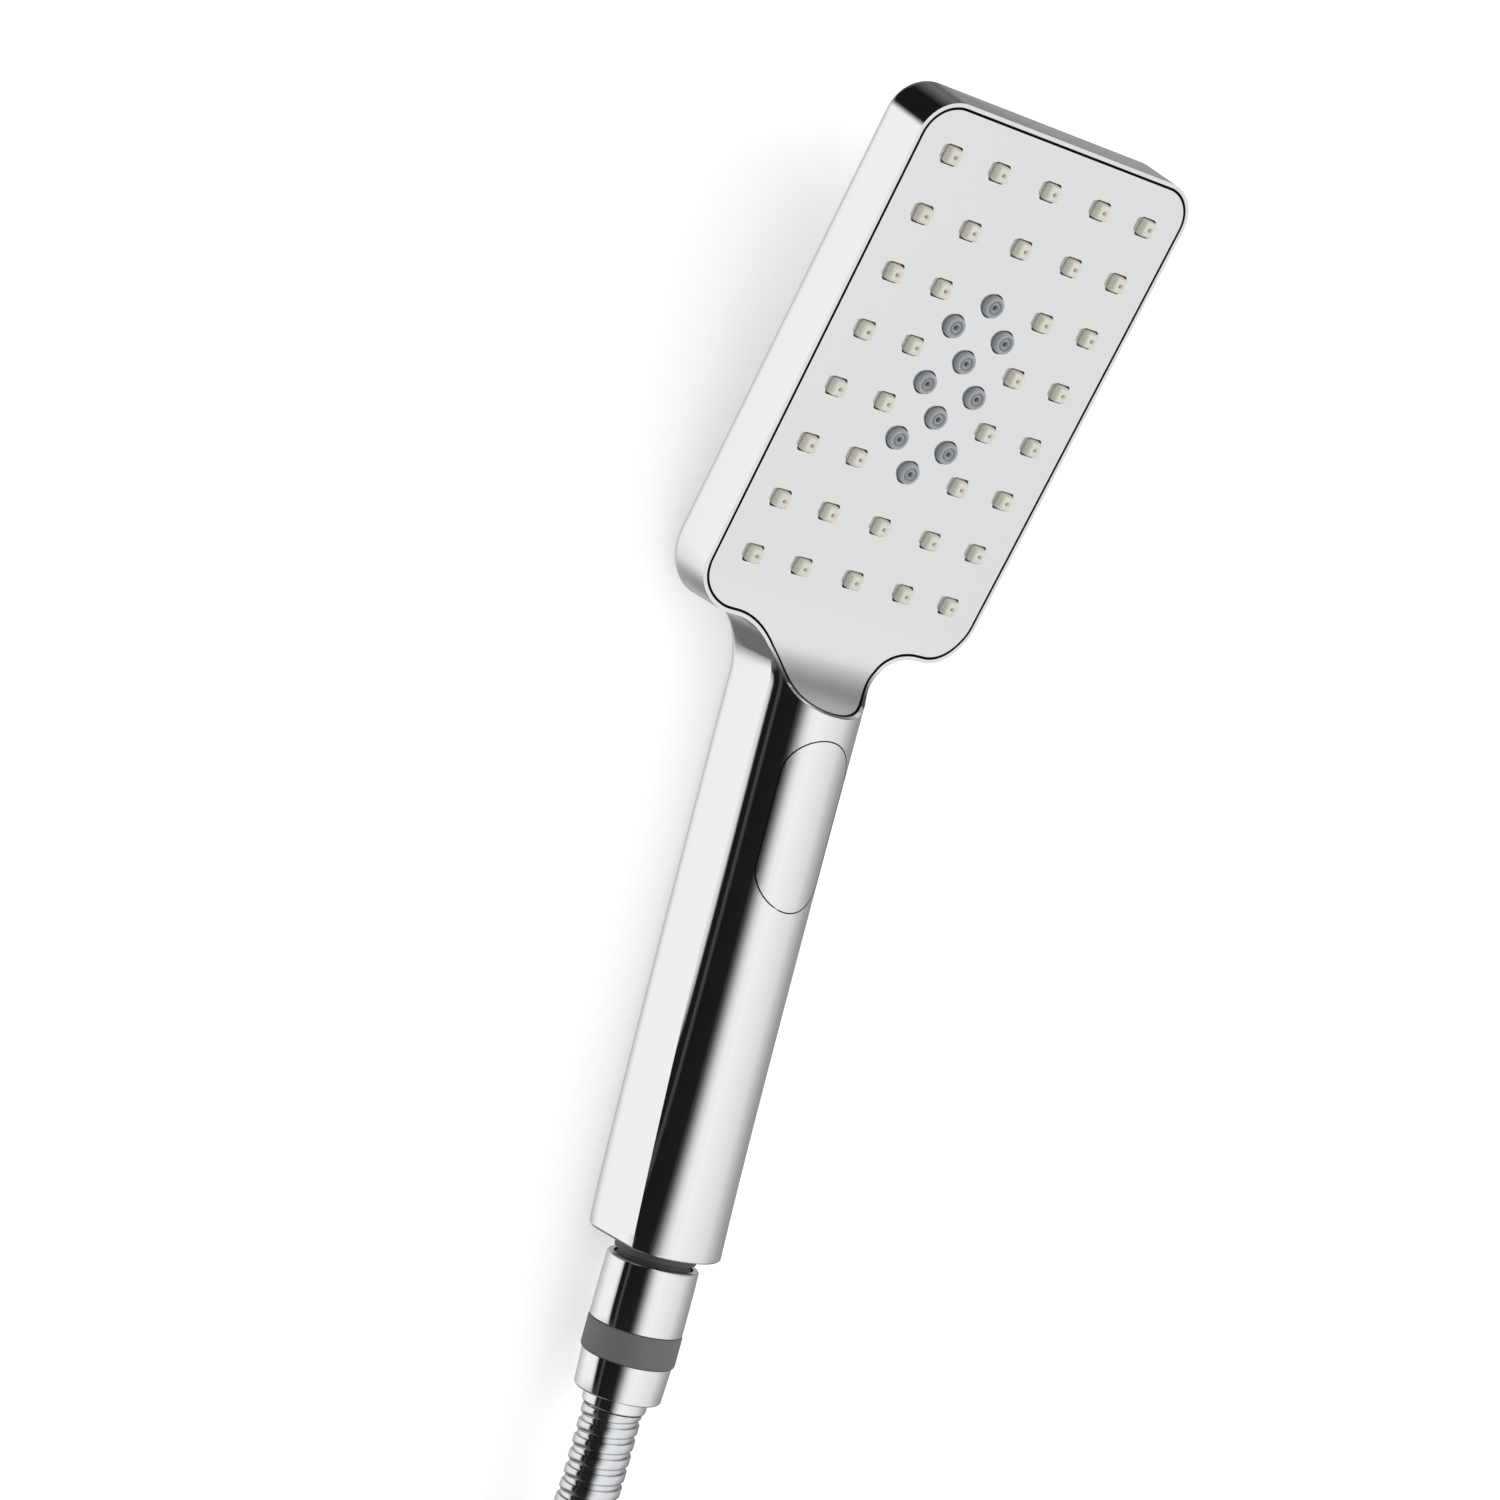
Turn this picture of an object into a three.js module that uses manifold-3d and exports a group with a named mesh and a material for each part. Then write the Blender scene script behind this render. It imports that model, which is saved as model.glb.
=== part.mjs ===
// Hand shower with a rectangular spray head, a thumb button and a metal hose.
// Millimetres. The handle's axis runs along +Y towards the head, +Z is the spray side,
// and the shower lies on the flat back of its handle with its head tilted up.
import * as THREE from "three";
import { mergeVertices } from "three/addons/utils/BufferGeometryUtils.js";
import Module from "manifold-3d";

const wasm = await Module();
wasm.setup();

const GAP = 0.3; // clearance between neighbouring pieces
const RAD = Math.PI / 180;

// ---------------------------------------------------------------- driving dimensions
const ROW = 15.8; // pitch of the nozzle rows

const HEAD = {
  tilt: 18.5 * RAD, // the face leans back from the handle's axis by this angle
  top: 138.6, // top edge, measured up the face from the neck
  half: 44.6, // half the width
  depth: 19, // spray face to the back
  shoulder: 12.6, // radius of the lower corners
  shoulderX: 32,
  corner: 10.3, // radius of the top corners
};
const HANDLE = {
  length: 164.8, // open end to the neck, along the axis
  endHalf: 14.5, // half width at the open end
  neckHalf: 15.1, // half width at the neck
  endFront: 16.6, // height of the rounded front above the axis, at the end
  neckFront: 13.9,
  endCrease: 8.7, // height of the side's front edge above the axis, at the end
  neckCrease: 2.1,
  endRound: 11, // radius of the back edges, at the end
  neckRound: 5,
  rim: 0.8, // rounding of the end's rim
};
const FLARE = 15; // radius of the concave sides between handle and shoulders
const BEND = 12; // half length of the bend at the neck
const COVE = { start: 7.35, radius: 22.3, sweep: 83 * RAD }; // the tongue's sweep up
const WALL = 2.6;
const LIP = 1.0; // wall left outside the spray face
const PLATE = { thick: 2.4, inset: 1.7 };
const LEDGE = PLATE.thick + GAP; // depth of the pocket that takes the spray face

// the button sinks 2.5 mm into the handle
const BUTTON = { centre: -49.1, half: 10, length: 44.7, slit: 0.35, thick: 4.1 };

// nozzle places on the face: rows count down from the top, x is across
const rowAt = (row) => 7.965 * ROW - row * ROW;
const INNER = 1.072 * ROW;
const OUTER = 2.064 * ROW;
const rainSpots = [];
for (let row = 0; row < 8; row++) {
  for (const x of [-OUTER, -INNER, 0, INNER, OUTER]) {
    const middle = row > 1 && row < 6;
    if (x === 0 && middle) continue;
    rainSpots.push([x, rowAt(row)]);
  }
}
const jetSpots = [2, 3, 4, 5].map((row) => [0, rowAt(row)]);
for (const row of [2.5, 3.5, 4.5]) {
  for (const side of [-1, 1]) jetSpots.push([side * 0.52 * ROW, rowAt(row)]);
}
const screwSpots = [0.5, 3.5, 6.5].flatMap((row) => [-24.8, 24.8].map((x) => [x, rowAt(row)]));

// ---------------------------------------------------------------- materials
const material = (color, roughness, metalness) =>
  new THREE.MeshStandardMaterial({ color, roughness, metalness });
const chrome = material(0xd8dadc, 0.06, 1);
const hoseSteel = material(0xc9cccf, 0.18, 1);
const steel = material(0xa9adb0, 0.3, 1);
const brass = material(0xc7a45a, 0.3, 1);
const creamSilicone = material(0xe9e3d2, 0.55, 0);
const greySilicone = material(0x9b9c9c, 0.5, 0);
const gripRubber = material(0x6b6c6d, 0.6, 0);
const blackRubber = material(0x1d1d1f, 0.7, 0);
const whitePlastic = material(0xe6e6e2, 0.5, 0);
const greyPlastic = material(0x4a4b4e, 0.5, 0);
const tiePlastic = material(0xecebe6, 0.45, 0);

// ---------------------------------------------------------------- solids
// A closed geometry with shared vertices merged and its faces turned outwards.
function sealed(geometry) {
  const bare = geometry.index ? geometry.toNonIndexed() : geometry.clone();
  for (const name of Object.keys(bare.attributes)) {
    if (name !== "position") bare.deleteAttribute(name);
  }
  const merged = mergeVertices(bare, 1e-4);
  const corner = (i) =>
    new THREE.Vector3().fromBufferAttribute(merged.attributes.position, merged.index.array[i]);
  let volume = 0;
  for (let i = 0; i < merged.index.count; i += 3) {
    volume += corner(i).dot(corner(i + 1).cross(corner(i + 2)));
  }
  if (volume < 0) merged.index.array.reverse();
  return merged;
}

function toSolid(geometry) {
  const merged = sealed(geometry);
  return new wasm.Manifold(
    new wasm.Mesh({
      numProp: 3,
      vertProperties: new Float32Array(merged.attributes.position.array),
      triVerts: new Uint32Array(merged.index.array),
    }),
  );
}
const asSolid = (thing) => (thing.isBufferGeometry ? toSolid(thing) : thing);
const join = (...things) => things.map(asSolid).reduce((a, b) => a.add(b));
const cut = (...things) => things.map(asSolid).reduce((a, b) => a.subtract(b));
const common = (...things) => things.map(asSolid).reduce((a, b) => a.intersect(b));

function toGeometry(thing) {
  if (thing.isBufferGeometry) return sealed(thing);
  const mesh = thing.getMesh();
  const geometry = new THREE.BufferGeometry();
  geometry.setAttribute("position", new THREE.BufferAttribute(mesh.vertProperties, 3));
  geometry.setIndex(new THREE.BufferAttribute(mesh.triVerts, 1));
  geometry.computeVertexNormals();
  return geometry;
}

function piece(parent, name, thing, finish) {
  const mesh = new THREE.Mesh(toGeometry(thing), finish);
  mesh.name = name;
  parent.add(mesh);
  return mesh;
}

// A closed profile of [radius, height] pairs turned round Z.
function turned(profile, sides = 16) {
  const points = [...profile, profile[0]].map(([r, z]) => new THREE.Vector2(r, z));
  const geometry = new THREE.LatheGeometry(points, sides);
  return geometry.rotateX(Math.PI / 2);
}
// The same, but turned round Y, with heights along +Y.
const turnedY = (profile, sides = 16) => {
  const points = [...profile, profile[0]].map(([r, y]) => new THREE.Vector2(r, y));
  return new THREE.LatheGeometry(points, sides);
};
const rod = (radius, y0, y1, sides = 12) =>
  new THREE.CylinderGeometry(radius, radius, y1 - y0, sides).translate(0, (y0 + y1) / 2, 0);
const post = (x, y, radius, z0, z1, sides = 8) =>
  new THREE.CylinderGeometry(radius, radius, z1 - z0, sides)
    .rotateX(Math.PI / 2)
    .translate(x, y, (z0 + z1) / 2);

// An upright block whose outline is a rectangle with round corners.
function block(halfX, halfY, corner, z0, z1, x = 0, y = 0, steps = 4) {
  const shape = new THREE.Shape();
  const ways = [
    [halfX - corner, halfY - corner, 0],
    [corner - halfX, halfY - corner, 90],
    [corner - halfX, corner - halfY, 180],
    [halfX - corner, corner - halfY, 270],
  ];
  const outline = [];
  for (const [cx, cy, from] of ways) {
    for (let i = 0; i <= steps; i++) {
      const turn = (from + (90 * i) / steps) * RAD;
      outline.push([cx + corner * Math.cos(turn), cy + corner * Math.sin(turn)]);
    }
  }
  outline.forEach(([px, py], i) => (i ? shape.lineTo(px, py) : shape.moveTo(px, py)));
  return new THREE.ExtrudeGeometry(shape, { depth: z1 - z0, bevelEnabled: false })
    .translate(x, y, z0);
}

// A round tube, hollow where inner is given, along a smooth path.
function tube(path, outer, inner, steps, sides = 10) {
  const shape = new THREE.Shape();
  const ring = (target, radius, way) => {
    for (let i = 0; i < sides; i++) {
      const turn = (way * 2 * Math.PI * i) / sides;
      const x = radius * Math.cos(turn);
      const y = radius * Math.sin(turn);
      if (i) target.lineTo(x, y);
      else target.moveTo(x, y);
    }
    target.closePath();
  };
  ring(shape, outer, 1);
  if (inner) {
    const hole = new THREE.Path();
    ring(hole, inner, -1);
    shape.holes.push(hole);
  }
  const curve = path instanceof THREE.Curve
    ? path
    : new THREE.CatmullRomCurve3(path.map((p) => new THREE.Vector3(...p)), false, "centripetal");
  return new THREE.ExtrudeGeometry(shape, { extrudePath: curve, steps, bevelEnabled: false });
}

// ---------------------------------------------------------------- the body's outer form
// q runs along the body's spine, 0 at the neck, below 0 on the handle; h is the height
// above the spine. bent() carries (q, h) round the bend into the handle's frame.
const BEND_RADIUS = BEND / Math.tan(HEAD.tilt / 2);
function bent(x, q, h) {
  if (q <= -BEND) return new THREE.Vector3(x, q, h);
  if (q >= BEND) {
    const c = Math.cos(HEAD.tilt);
    const s = Math.sin(HEAD.tilt);
    return new THREE.Vector3(x, q * c - h * s, q * s + h * c);
  }
  const turn = (HEAD.tilt * (q + BEND)) / (2 * BEND);
  const reach = BEND_RADIUS - h;
  return new THREE.Vector3(x, -BEND + reach * Math.sin(turn), BEND_RADIUS - reach * Math.cos(turn));
}

const mix = (a, b, t) => a + (b - a) * t;
// 0 at the handle's open end, 1 at the start of the flare, and 1 from there on
const along = (q) => THREE.MathUtils.clamp((q + HANDLE.length) / (HANDLE.length - 20), 0, 1);
const CHIN = -1.4; // lower edge of the head, measured up the face from the neck
const FLARE_Q = CHIN - FLARE; // the flare starts here
const FLARE_X = HANDLE.neckHalf + FLARE;
const SHOULDER_Q = CHIN + HEAD.shoulder;
const CORNER_X = HEAD.half - HEAD.corner;
const CORNER_Q = HEAD.top - HEAD.corner;

// How far a point of the plan is inside the outline.
function depthInside(x, q) {
  const side = Math.abs(x);
  if (q <= FLARE_Q) return mix(HANDLE.endHalf, HANDLE.neckHalf, along(q)) - side;
  const near = [HEAD.top - q, HEAD.half - side];
  if (side <= FLARE_X && q < SHOULDER_Q) near.push(Math.hypot(side - FLARE_X, q - FLARE_Q) - FLARE);
  if (side > FLARE_X && side <= HEAD.shoulderX) near.push(q - FLARE_Q - FLARE);
  if (side > HEAD.shoulderX && q < SHOULDER_Q) {
    near.push(HEAD.shoulder - Math.hypot(side - HEAD.shoulderX, q - SHOULDER_Q));
  }
  if (side > CORNER_X && q > CORNER_Q) {
    near.push(HEAD.corner - Math.hypot(side - CORNER_X, q - CORNER_Q));
  }
  return Math.min(...near);
}

// Stations [q, half width, extra inset] from the handle's end to the top of the head,
// everything moved inwards by inset.
function stations(inset) {
  const list = [];
  const start = -HANDLE.length + inset;
  for (const turn of [0, 45, 90]) {
    const c = HANDLE.rim * (1 - Math.sin(turn * RAD));
    const q = start + HANDLE.rim * (1 - Math.cos(turn * RAD));
    list.push([q, mix(HANDLE.endHalf, HANDLE.neckHalf, along(q)) - inset, c]);
  }
  for (const q of [-125, -85, -50]) {
    list.push([q, mix(HANDLE.endHalf, HANDLE.neckHalf, along(q)) - inset, 0]);
  }
  for (let i = 0; i <= 5; i++) {
    const turn = 18 * i * RAD;
    const r = FLARE + inset;
    list.push([FLARE_Q + r * Math.sin(turn), FLARE_X - r * Math.cos(turn), 0]);
  }
  for (let i = 0; i <= 5; i++) {
    const turn = 18 * i * RAD;
    const r = HEAD.shoulder - inset;
    const q = SHOULDER_Q - r * Math.cos(turn) + (i ? 0 : 0.02);
    list.push([q, HEAD.shoulderX + r * Math.sin(turn), 0]);
  }
  for (let i = 0; i <= 4; i++) {
    const turn = 22.5 * i * RAD;
    const r = HEAD.corner - inset;
    list.push([CORNER_Q + r * Math.sin(turn), CORNER_X + r * Math.cos(turn), 0]);
  }
  return list;
}

const FRONT_STEPS = 8;
const BACK_FRACTIONS = [1, 0.96, 0.88, 0.76, 0.5];
// One closed section of the body: rounded front, flat sides, flat back with round edges.
function section([q, half, extra], inset) {
  const at = along(q);
  const a = half - extra;
  const shrink = inset + extra;
  const bottom = HEAD.depth - shrink;
  const crease = mix(HANDLE.neckCrease, HANDLE.endCrease, (1 - at) ** 2);
  const front = mix(HANDLE.endFront, HANDLE.neckFront, at) - shrink;
  const round = Math.max(mix(HANDLE.endRound, HANDLE.neckRound, Math.sqrt(at)) - shrink, 0.6);
  const points = [];
  const rise = front - crease;
  const radius = (a * a + rise * rise) / (2 * rise);
  const width = Math.asin(Math.min(1, Math.min(HANDLE.neckHalf, a) / radius));
  for (let i = 0; i <= FRONT_STEPS; i++) {
    const turn = mix(width, -width, i / FRONT_STEPS);
    const x = (a * Math.sin(turn)) / Math.sin(width);
    points.push([x, crease + rise * (1 - (1 - Math.cos(turn)) / (1 - Math.cos(width)))]);
  }
  const floorAt = (x) => {
    const inside = THREE.MathUtils.clamp(depthInside(x, q) - inset - extra, 0, round);
    return -bottom + round - Math.sqrt(round * round - (round - inside) ** 2);
  };
  const side = BACK_FRACTIONS.map((f) => [-a * f, floorAt(a * f)]);
  points.push(...side);
  points.push(...side.map(([x, h]) => [-x, h]).reverse());
  return points.map(([x, h]) => bent(x, q, h));
}

// Skin over a row of sections with an equal number of points, closed by a fan at each end.
function loft(sections) {
  const count = sections[0].length;
  const position = sections.flat().flatMap((p) => [p.x, p.y, p.z]);
  const index = [];
  for (let s = 0; s + 1 < sections.length; s++) {
    for (let i = 0; i < count; i++) {
      const a = s * count + i;
      const b = s * count + ((i + 1) % count);
      index.push(a, b, a + count, b, b + count, a + count);
    }
  }
  for (const [s, flip] of [[0, true], [sections.length - 1, false]]) {
    const loop = sections[s];
    const middle = loop.reduce((sum, p) => sum.add(p), new THREE.Vector3()).divideScalar(count);
    const hub = position.length / 3;
    position.push(middle.x, middle.y, middle.z);
    for (let i = 0; i < count; i++) {
      const a = s * count + i;
      const b = s * count + ((i + 1) % count);
      if (flip) index.push(hub, b, a);
      else index.push(hub, a, b);
    }
  }
  const geometry = new THREE.BufferGeometry();
  geometry.setAttribute("position", new THREE.Float32BufferAttribute(position, 3));
  geometry.setIndex(index);
  return geometry;
}
const bodyForm = (inset) => toSolid(loft(stations(inset).map((s) => section(s, inset))));

// Everything in front of the spray face, or of a surface sunk below it.
function frontOfFace(sunk) {
  const shape = new THREE.Shape();
  const radius = COVE.radius + sunk;
  shape.moveTo(HEAD.top + 20, -sunk);
  const steps = 14;
  for (let i = 0; i <= steps; i++) {
    const turn = (COVE.sweep * i) / steps;
    shape.lineTo(COVE.start - radius * Math.sin(turn), COVE.radius - radius * Math.cos(turn));
  }
  shape.lineTo(COVE.start - radius * Math.sin(COVE.sweep), 60);
  shape.lineTo(HEAD.top + 20, 60);
  const geometry = new THREE.ExtrudeGeometry(shape, { depth: 120, bevelEnabled: false });
  // the outline's first axis is up the face and its second out of the face
  const turnUp = new THREE.Matrix4().makeBasis(
    new THREE.Vector3(0, 1, 0),
    new THREE.Vector3(0, 0, 1),
    new THREE.Vector3(1, 0, 0),
  );
  return geometry.applyMatrix4(turnUp).translate(-60, 0, 0).rotateX(HEAD.tilt);
}
const inHead = (geometry) => geometry.rotateX(HEAD.tilt);

const pill = (grow, z0, z1) =>
  block(BUTTON.half + grow, BUTTON.length / 2 + grow, BUTTON.half + grow - 0.01, z0, z1,
    0, BUTTON.centre, 6);

// ---------------------------------------------------------------- assembly frames
const shower = new THREE.Group(); // Y along the handle's axis, 0 at the handle's end
const neck = new THREE.Group(); // 0 at the neck
neck.position.set(0, HANDLE.length, 0);
shower.add(neck);
const head = new THREE.Group(); // Z out of the face
head.rotation.x = HEAD.tilt;
neck.add(head);

const bodyOuter = bodyForm(0);
const faceTool = toSolid(frontOfFace(0));

// Shell: head tray and handle in one piece.
function makeShell() {
  const pocket = common(bodyForm(LIP), frontOfFace(LEDGE));
  let shell = cut(bodyOuter, faceTool, pocket, bodyForm(WALL));
  for (const [x, v] of screwSpots) {
    shell = join(shell, inHead(post(x, v, 3.5, 1 - HEAD.depth, -14.6)));
    shell = cut(shell, inHead(post(x, v, 1.2, -17.2, -10)));
  }
  const inletHole = rod(9.3, -HANDLE.length - 5, -HANDLE.length + 6, 16);
  return cut(shell, pill(BUTTON.slit, 4, 24), inletHole);
}
piece(neck, "body_shell", makeShell(), chrome);

// Spray face with its tongue.
function makeFace() {
  const layer = cut(frontOfFace(PLATE.thick), frontOfFace(0));
  let face = common(bodyForm(PLATE.inset), layer);
  const holes = [
    ...rainSpots.map(([x, v]) => block(2.55, 2.55, 0.4, -4, 2, x, v, 1)),
    ...jetSpots.map(([x, v]) => post(x, v, 3.25, -4, 2, 10)),
  ];
  for (const hole of holes) face = cut(face, inHead(hole));
  return face;
}
piece(neck, "face_plate", makeFace(), chrome);

// ---------------------------------------------------------------- spray engine
const JET_MIDDLE = rowAt(3.5);
const MID_V = 70;
function makeRainMat() {
  let mat = cut(
    block(38.5, 63.5, 6, -3.7, -2.7, 0, MID_V),
    block(13.2, 33.2, 2, -5, 0, 0, JET_MIDDLE, 2),
  );
  for (const [x, v] of rainSpots) {
    const nozzle = new THREE.CylinderGeometry(2.05 * Math.SQRT2, 2.2 * Math.SQRT2, 5.4, 4)
      .rotateY(Math.PI / 4)
      .rotateX(Math.PI / 2)
      .translate(x, v, -0.6);
    mat = join(mat, nozzle);
  }
  return mat;
}
piece(head, "rain_nozzle_mat", makeRainMat(), creamSilicone);

function makeJetMat() {
  let mat = toSolid(block(12.9, 32.9, 2, -3.7, -2.7, 0, JET_MIDDLE, 2));
  for (const [x, v] of jetSpots) mat = join(mat, post(x, v, 2.85, -3.3, 1.6, 10));
  for (const [x, v] of jetSpots) mat = cut(mat, post(x, v, 0.9, -5, 3, 5));
  return mat;
}
piece(head, "jet_nozzle_mat", makeJetMat(), greySilicone);

function makeCarrier() {
  let plate = toSolid(block(39.6, 64.6, 8, -6.6, -4, 0, MID_V));
  for (const [x, v] of [...rainSpots, ...jetSpots]) plate = cut(plate, post(x, v, 1.3, -8, -3, 4));
  for (const [x, v] of screwSpots) {
    plate = cut(plate, post(x, v, 1.8, -8, -3), post(x, v, 3.2, -5.7, -3));
  }
  return plate;
}
piece(head, "spray_carrier", makeCarrier(), whitePlastic);

function makeDistributor() {
  const low = MID_V - 64;
  const duct = { x: -5, half: 4 };
  let tray = cut(
    block(39, 64, 7.5, -14.2, -7.9, 0, MID_V),
    block(37.4, 62.4, 6, -12.6, 0, 0, MID_V),
  );
  const walls = join(
    block(13, 33, 1.5, -13, -6.9, 0, JET_MIDDLE, 1),
    block(duct.half + 1.4, 18, 0.5, -13, -6.9, duct.x, low + 17.5, 1),
  );
  const rooms = join(
    block(11.6, 31.6, 1, -12.6, 0, 0, JET_MIDDLE, 1),
    block(duct.half, 19.5, 0.5, -12.6, 0, duct.x, low + 21.1, 1),
  );
  tray = cut(join(tray, walls), rooms);
  for (const [x, v] of screwSpots) {
    tray = cut(join(tray, post(x, v, 3.2, -13, -6.9)), post(x, v, 1.8, -16, -5, 8));
  }
  for (const side of [-1, 1]) {
    const spigot = rod(3.2, low - 7, low + 1).translate(side * 5, 0, -10.2);
    const bore = rod(2, low - 9, low + 3, 8).translate(side * 5, 0, -10.2);
    tray = cut(join(tray, spigot), bore);
  }
  return cut(tray, block(45, 1.2, 0.3, -7.9, -6, 0, low + 0.8, 1));
}
piece(head, "distributor", makeDistributor(), greyPlastic);
piece(
  head,
  "chamber_seal",
  cut(block(38.8, 63.8, 7.3, -7.6, -6.9, 0, MID_V), block(37.6, 62.6, 6.1, -9, 0, 0, MID_V)),
  blackRubber,
);

screwSpots.forEach(([x, v], i) => {
  const profile = [[0, -16.8], [0.85, -16.8], [0.85, -5.7], [2.7, -5.4], [2.7, -4.3], [0, -4.3]];
  const screw = cut(turned(profile, 10), block(1.9, 0.3, 0.1, -4.9, -4, 0, 0, 1));
  piece(head, `head_screw_${i + 1}`, screw, steel).position.set(x, v, 0);
});

// ---------------------------------------------------------------- selector under the button
const selector = new THREE.Group(); // Z along the plunger
selector.position.set(0, BUTTON.centre, 0);
neck.add(selector);

function makeHousing() {
  const chamber = turned([[0, -12.8], [8.6, -12.8], [8.6, 3], [0, 3]]);
  const inletBore = rod(3.2, -20, -7).translate(0, 0, -5);
  let housing = toSolid(turned([[0, -14.6], [10.2, -14.6], [10.2, 0.6], [0, 0.6]]));
  housing = join(housing, rod(4.7, -17, -5).translate(0, 0, -5));
  for (const side of [-1, 1]) housing = join(housing, rod(3.2, 5, 16).translate(side * 5, 0, -6));
  housing = cut(housing, chamber, inletBore);
  for (const side of [-1, 1]) {
    housing = cut(housing, rod(2, 6, 18, 8).translate(side * 5, 0, -6));
  }
  return housing;
}
piece(selector, "selector_housing", makeHousing(), whitePlastic);
piece(
  selector,
  "selector_bonnet",
  turned([
    [2.6, -3.4], [8.3, -3.4], [8.3, -2.4], [6.6, -2.4], [6.6, -0.4], [8.3, -0.4], [8.3, 0.9],
    [10.2, 0.9], [10.2, 1.3], [9, 2.1], [2.6, 2.1],
  ]),
  greyPlastic,
);
piece(
  selector,
  "bonnet_o_ring",
  new THREE.TorusGeometry(7.6, 0.6, 6, 16).translate(0, 0, -1.4),
  blackRubber,
);
piece(
  selector,
  "selector_plunger",
  turned([[0, -6], [6, -6], [6, -4.6], [2.2, -4], [2.2, 9.7], [0, 9.7]], 12),
  whitePlastic,
);

function makeRotor() {
  let rotor = toSolid(turned([[0, -11], [8.2, -11], [8.2, -9.6], [0, -9.6]]));
  for (let i = 0; i < 8; i++) {
    const tooth = block(0.9, 1.5, 0.2, -9.8, -8.9, 6, 0, 1).rotateZ(45 * i * RAD);
    rotor = join(rotor, tooth);
  }
  for (const side of [-1, 1]) rotor = cut(rotor, post(side * 3.4, 0, 1.3, -13, -5));
  return rotor;
}
piece(selector, "selector_rotor", makeRotor(), greyPlastic);
piece(
  selector,
  "port_disc",
  cut(turned([[0, -12.4], [8.2, -12.4], [8.2, -11.4], [0, -11.4]]), post(3.4, 0, 1.3, -14, -9)),
  whitePlastic,
);

// Compression spring between bonnet and button.
class Helix extends THREE.Curve {
  constructor(radius, z0, z1, turns) {
    super();
    Object.assign(this, { radius, z0, z1, turns });
  }
  getPoint(t, target = new THREE.Vector3()) {
    const turn = 2 * Math.PI * this.turns * t;
    return target.set(
      this.radius * Math.cos(turn),
      this.radius * Math.sin(turn),
      mix(this.z0, this.z1, t),
    );
  }
}
piece(selector, "button_spring", tube(new Helix(4, 2.8, 8.8, 4), 0.45, 0, 35, 5), steel);

// The button is the front layer of the handle inside the pill outline, with a ledge
// behind the shell that holds it in.
function makeButton() {
  const layer = (from, to) => cut(bodyForm(from), bodyForm(to), block(60, 300, 1, -60, 3, 0, 0, 1));
  const cap = common(layer(0, BUTTON.thick), pill(0, 4, 24));
  const ledge = common(layer(WALL + GAP, BUTTON.thick), pill(1.3, 5, 24));
  return join(cap, ledge);
}
piece(neck, "thumb_button", makeButton(), chrome);

// ---------------------------------------------------------------- waterways
function makeWaterway() {
  const socket = turnedY([[5, 14], [9.4, 14], [9.4, 4], [11.2, 4], [11.2, 16], [5, 16]]);
  const line = tube(
    [[0, 15, 0], [0, 28, 0], [0, 50, -1.6], [0, 72, -4.2], [0, 90, -5], [0, 104, -5]],
    6.5, 5, 8, 12,
  );
  return join(socket, line);
}
piece(shower, "waterway_tube", makeWaterway(), whitePlastic);

// From the selector's spigots to those of the distributor, both straight at their ends.
const DUCT = { from: -36.6, low: -6, high: -10.2, to: 5.2 };
const inHeadFrame = (x, v, w) => new THREE.Vector3(x, v, w).applyAxisAngle(
  new THREE.Vector3(1, 0, 0), HEAD.tilt,
);
for (const [name, side] of [["jet_duct", -1], ["rain_duct", 1]]) {
  const x = 5 * side;
  const route = [
    new THREE.Vector3(x, DUCT.from, DUCT.low), new THREE.Vector3(x, -27, DUCT.low),
    new THREE.Vector3(x, -17, DUCT.low - 1), new THREE.Vector3(x, -7.5, DUCT.low - 2.7),
    inHeadFrame(x, -2, DUCT.high + 0.2), inHeadFrame(x, DUCT.to, DUCT.high),
  ];
  piece(neck, name, tube(route.map((p) => p.toArray()), 4.6, 3.5, 9), whitePlastic);
}

// ---------------------------------------------------------------- inlet
function makeConnector() {
  const profile = [[6.5, -13], [9.6, -13]];
  for (let i = 0; i < 5; i++) {
    const y = -12.3 + 1.814 * i;
    profile.push([10.3, y], [10.3, y + 0.4], [9.6, y + 1]);
  }
  profile.push([9.6, -2.6], [11, -2.6], [11, -GAP], [9, -GAP], [9, 7], [7.1, 7], [7.1, 9.4]);
  profile.push([9, 9.4], [9, 12.5], [6.5, 12.5]);
  return turnedY(profile);
}
piece(shower, "inlet_connector", makeConnector(), greyPlastic);
const oRing = new THREE.TorusGeometry(8.15, 0.75, 6, 16).rotateX(Math.PI / 2);
piece(shower, "connector_o_ring", oRing, blackRubber).position.set(0, 8.2, 0);
function makeRegulator() {
  let disc = toSolid(rod(6.2, -6.4, -3.4, 20));
  for (let i = 0; i < 6; i++) {
    const hole = rod(1, -8, -2, 8).translate(3.8, 0, 0).rotateY(60 * i * RAD);
    disc = cut(disc, hole);
  }
  return disc;
}
piece(shower, "flow_regulator", makeRegulator(), greyPlastic);
function makeFilter() {
  let washer = join(
    turnedY([[4.5, -15.8], [10.2, -15.8], [10.2, -13.4], [4.5, -13.4]]),
    rod(5, -14.9, -14.3),
  );
  for (let i = 0; i < 6; i++) {
    washer = cut(washer, rod(0.9, -17, -12, 6).translate(2.8, 0, 0).rotateY(60 * i * RAD));
  }
  return washer;
}
piece(shower, "filter_washer", makeFilter(), blackRubber);

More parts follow.
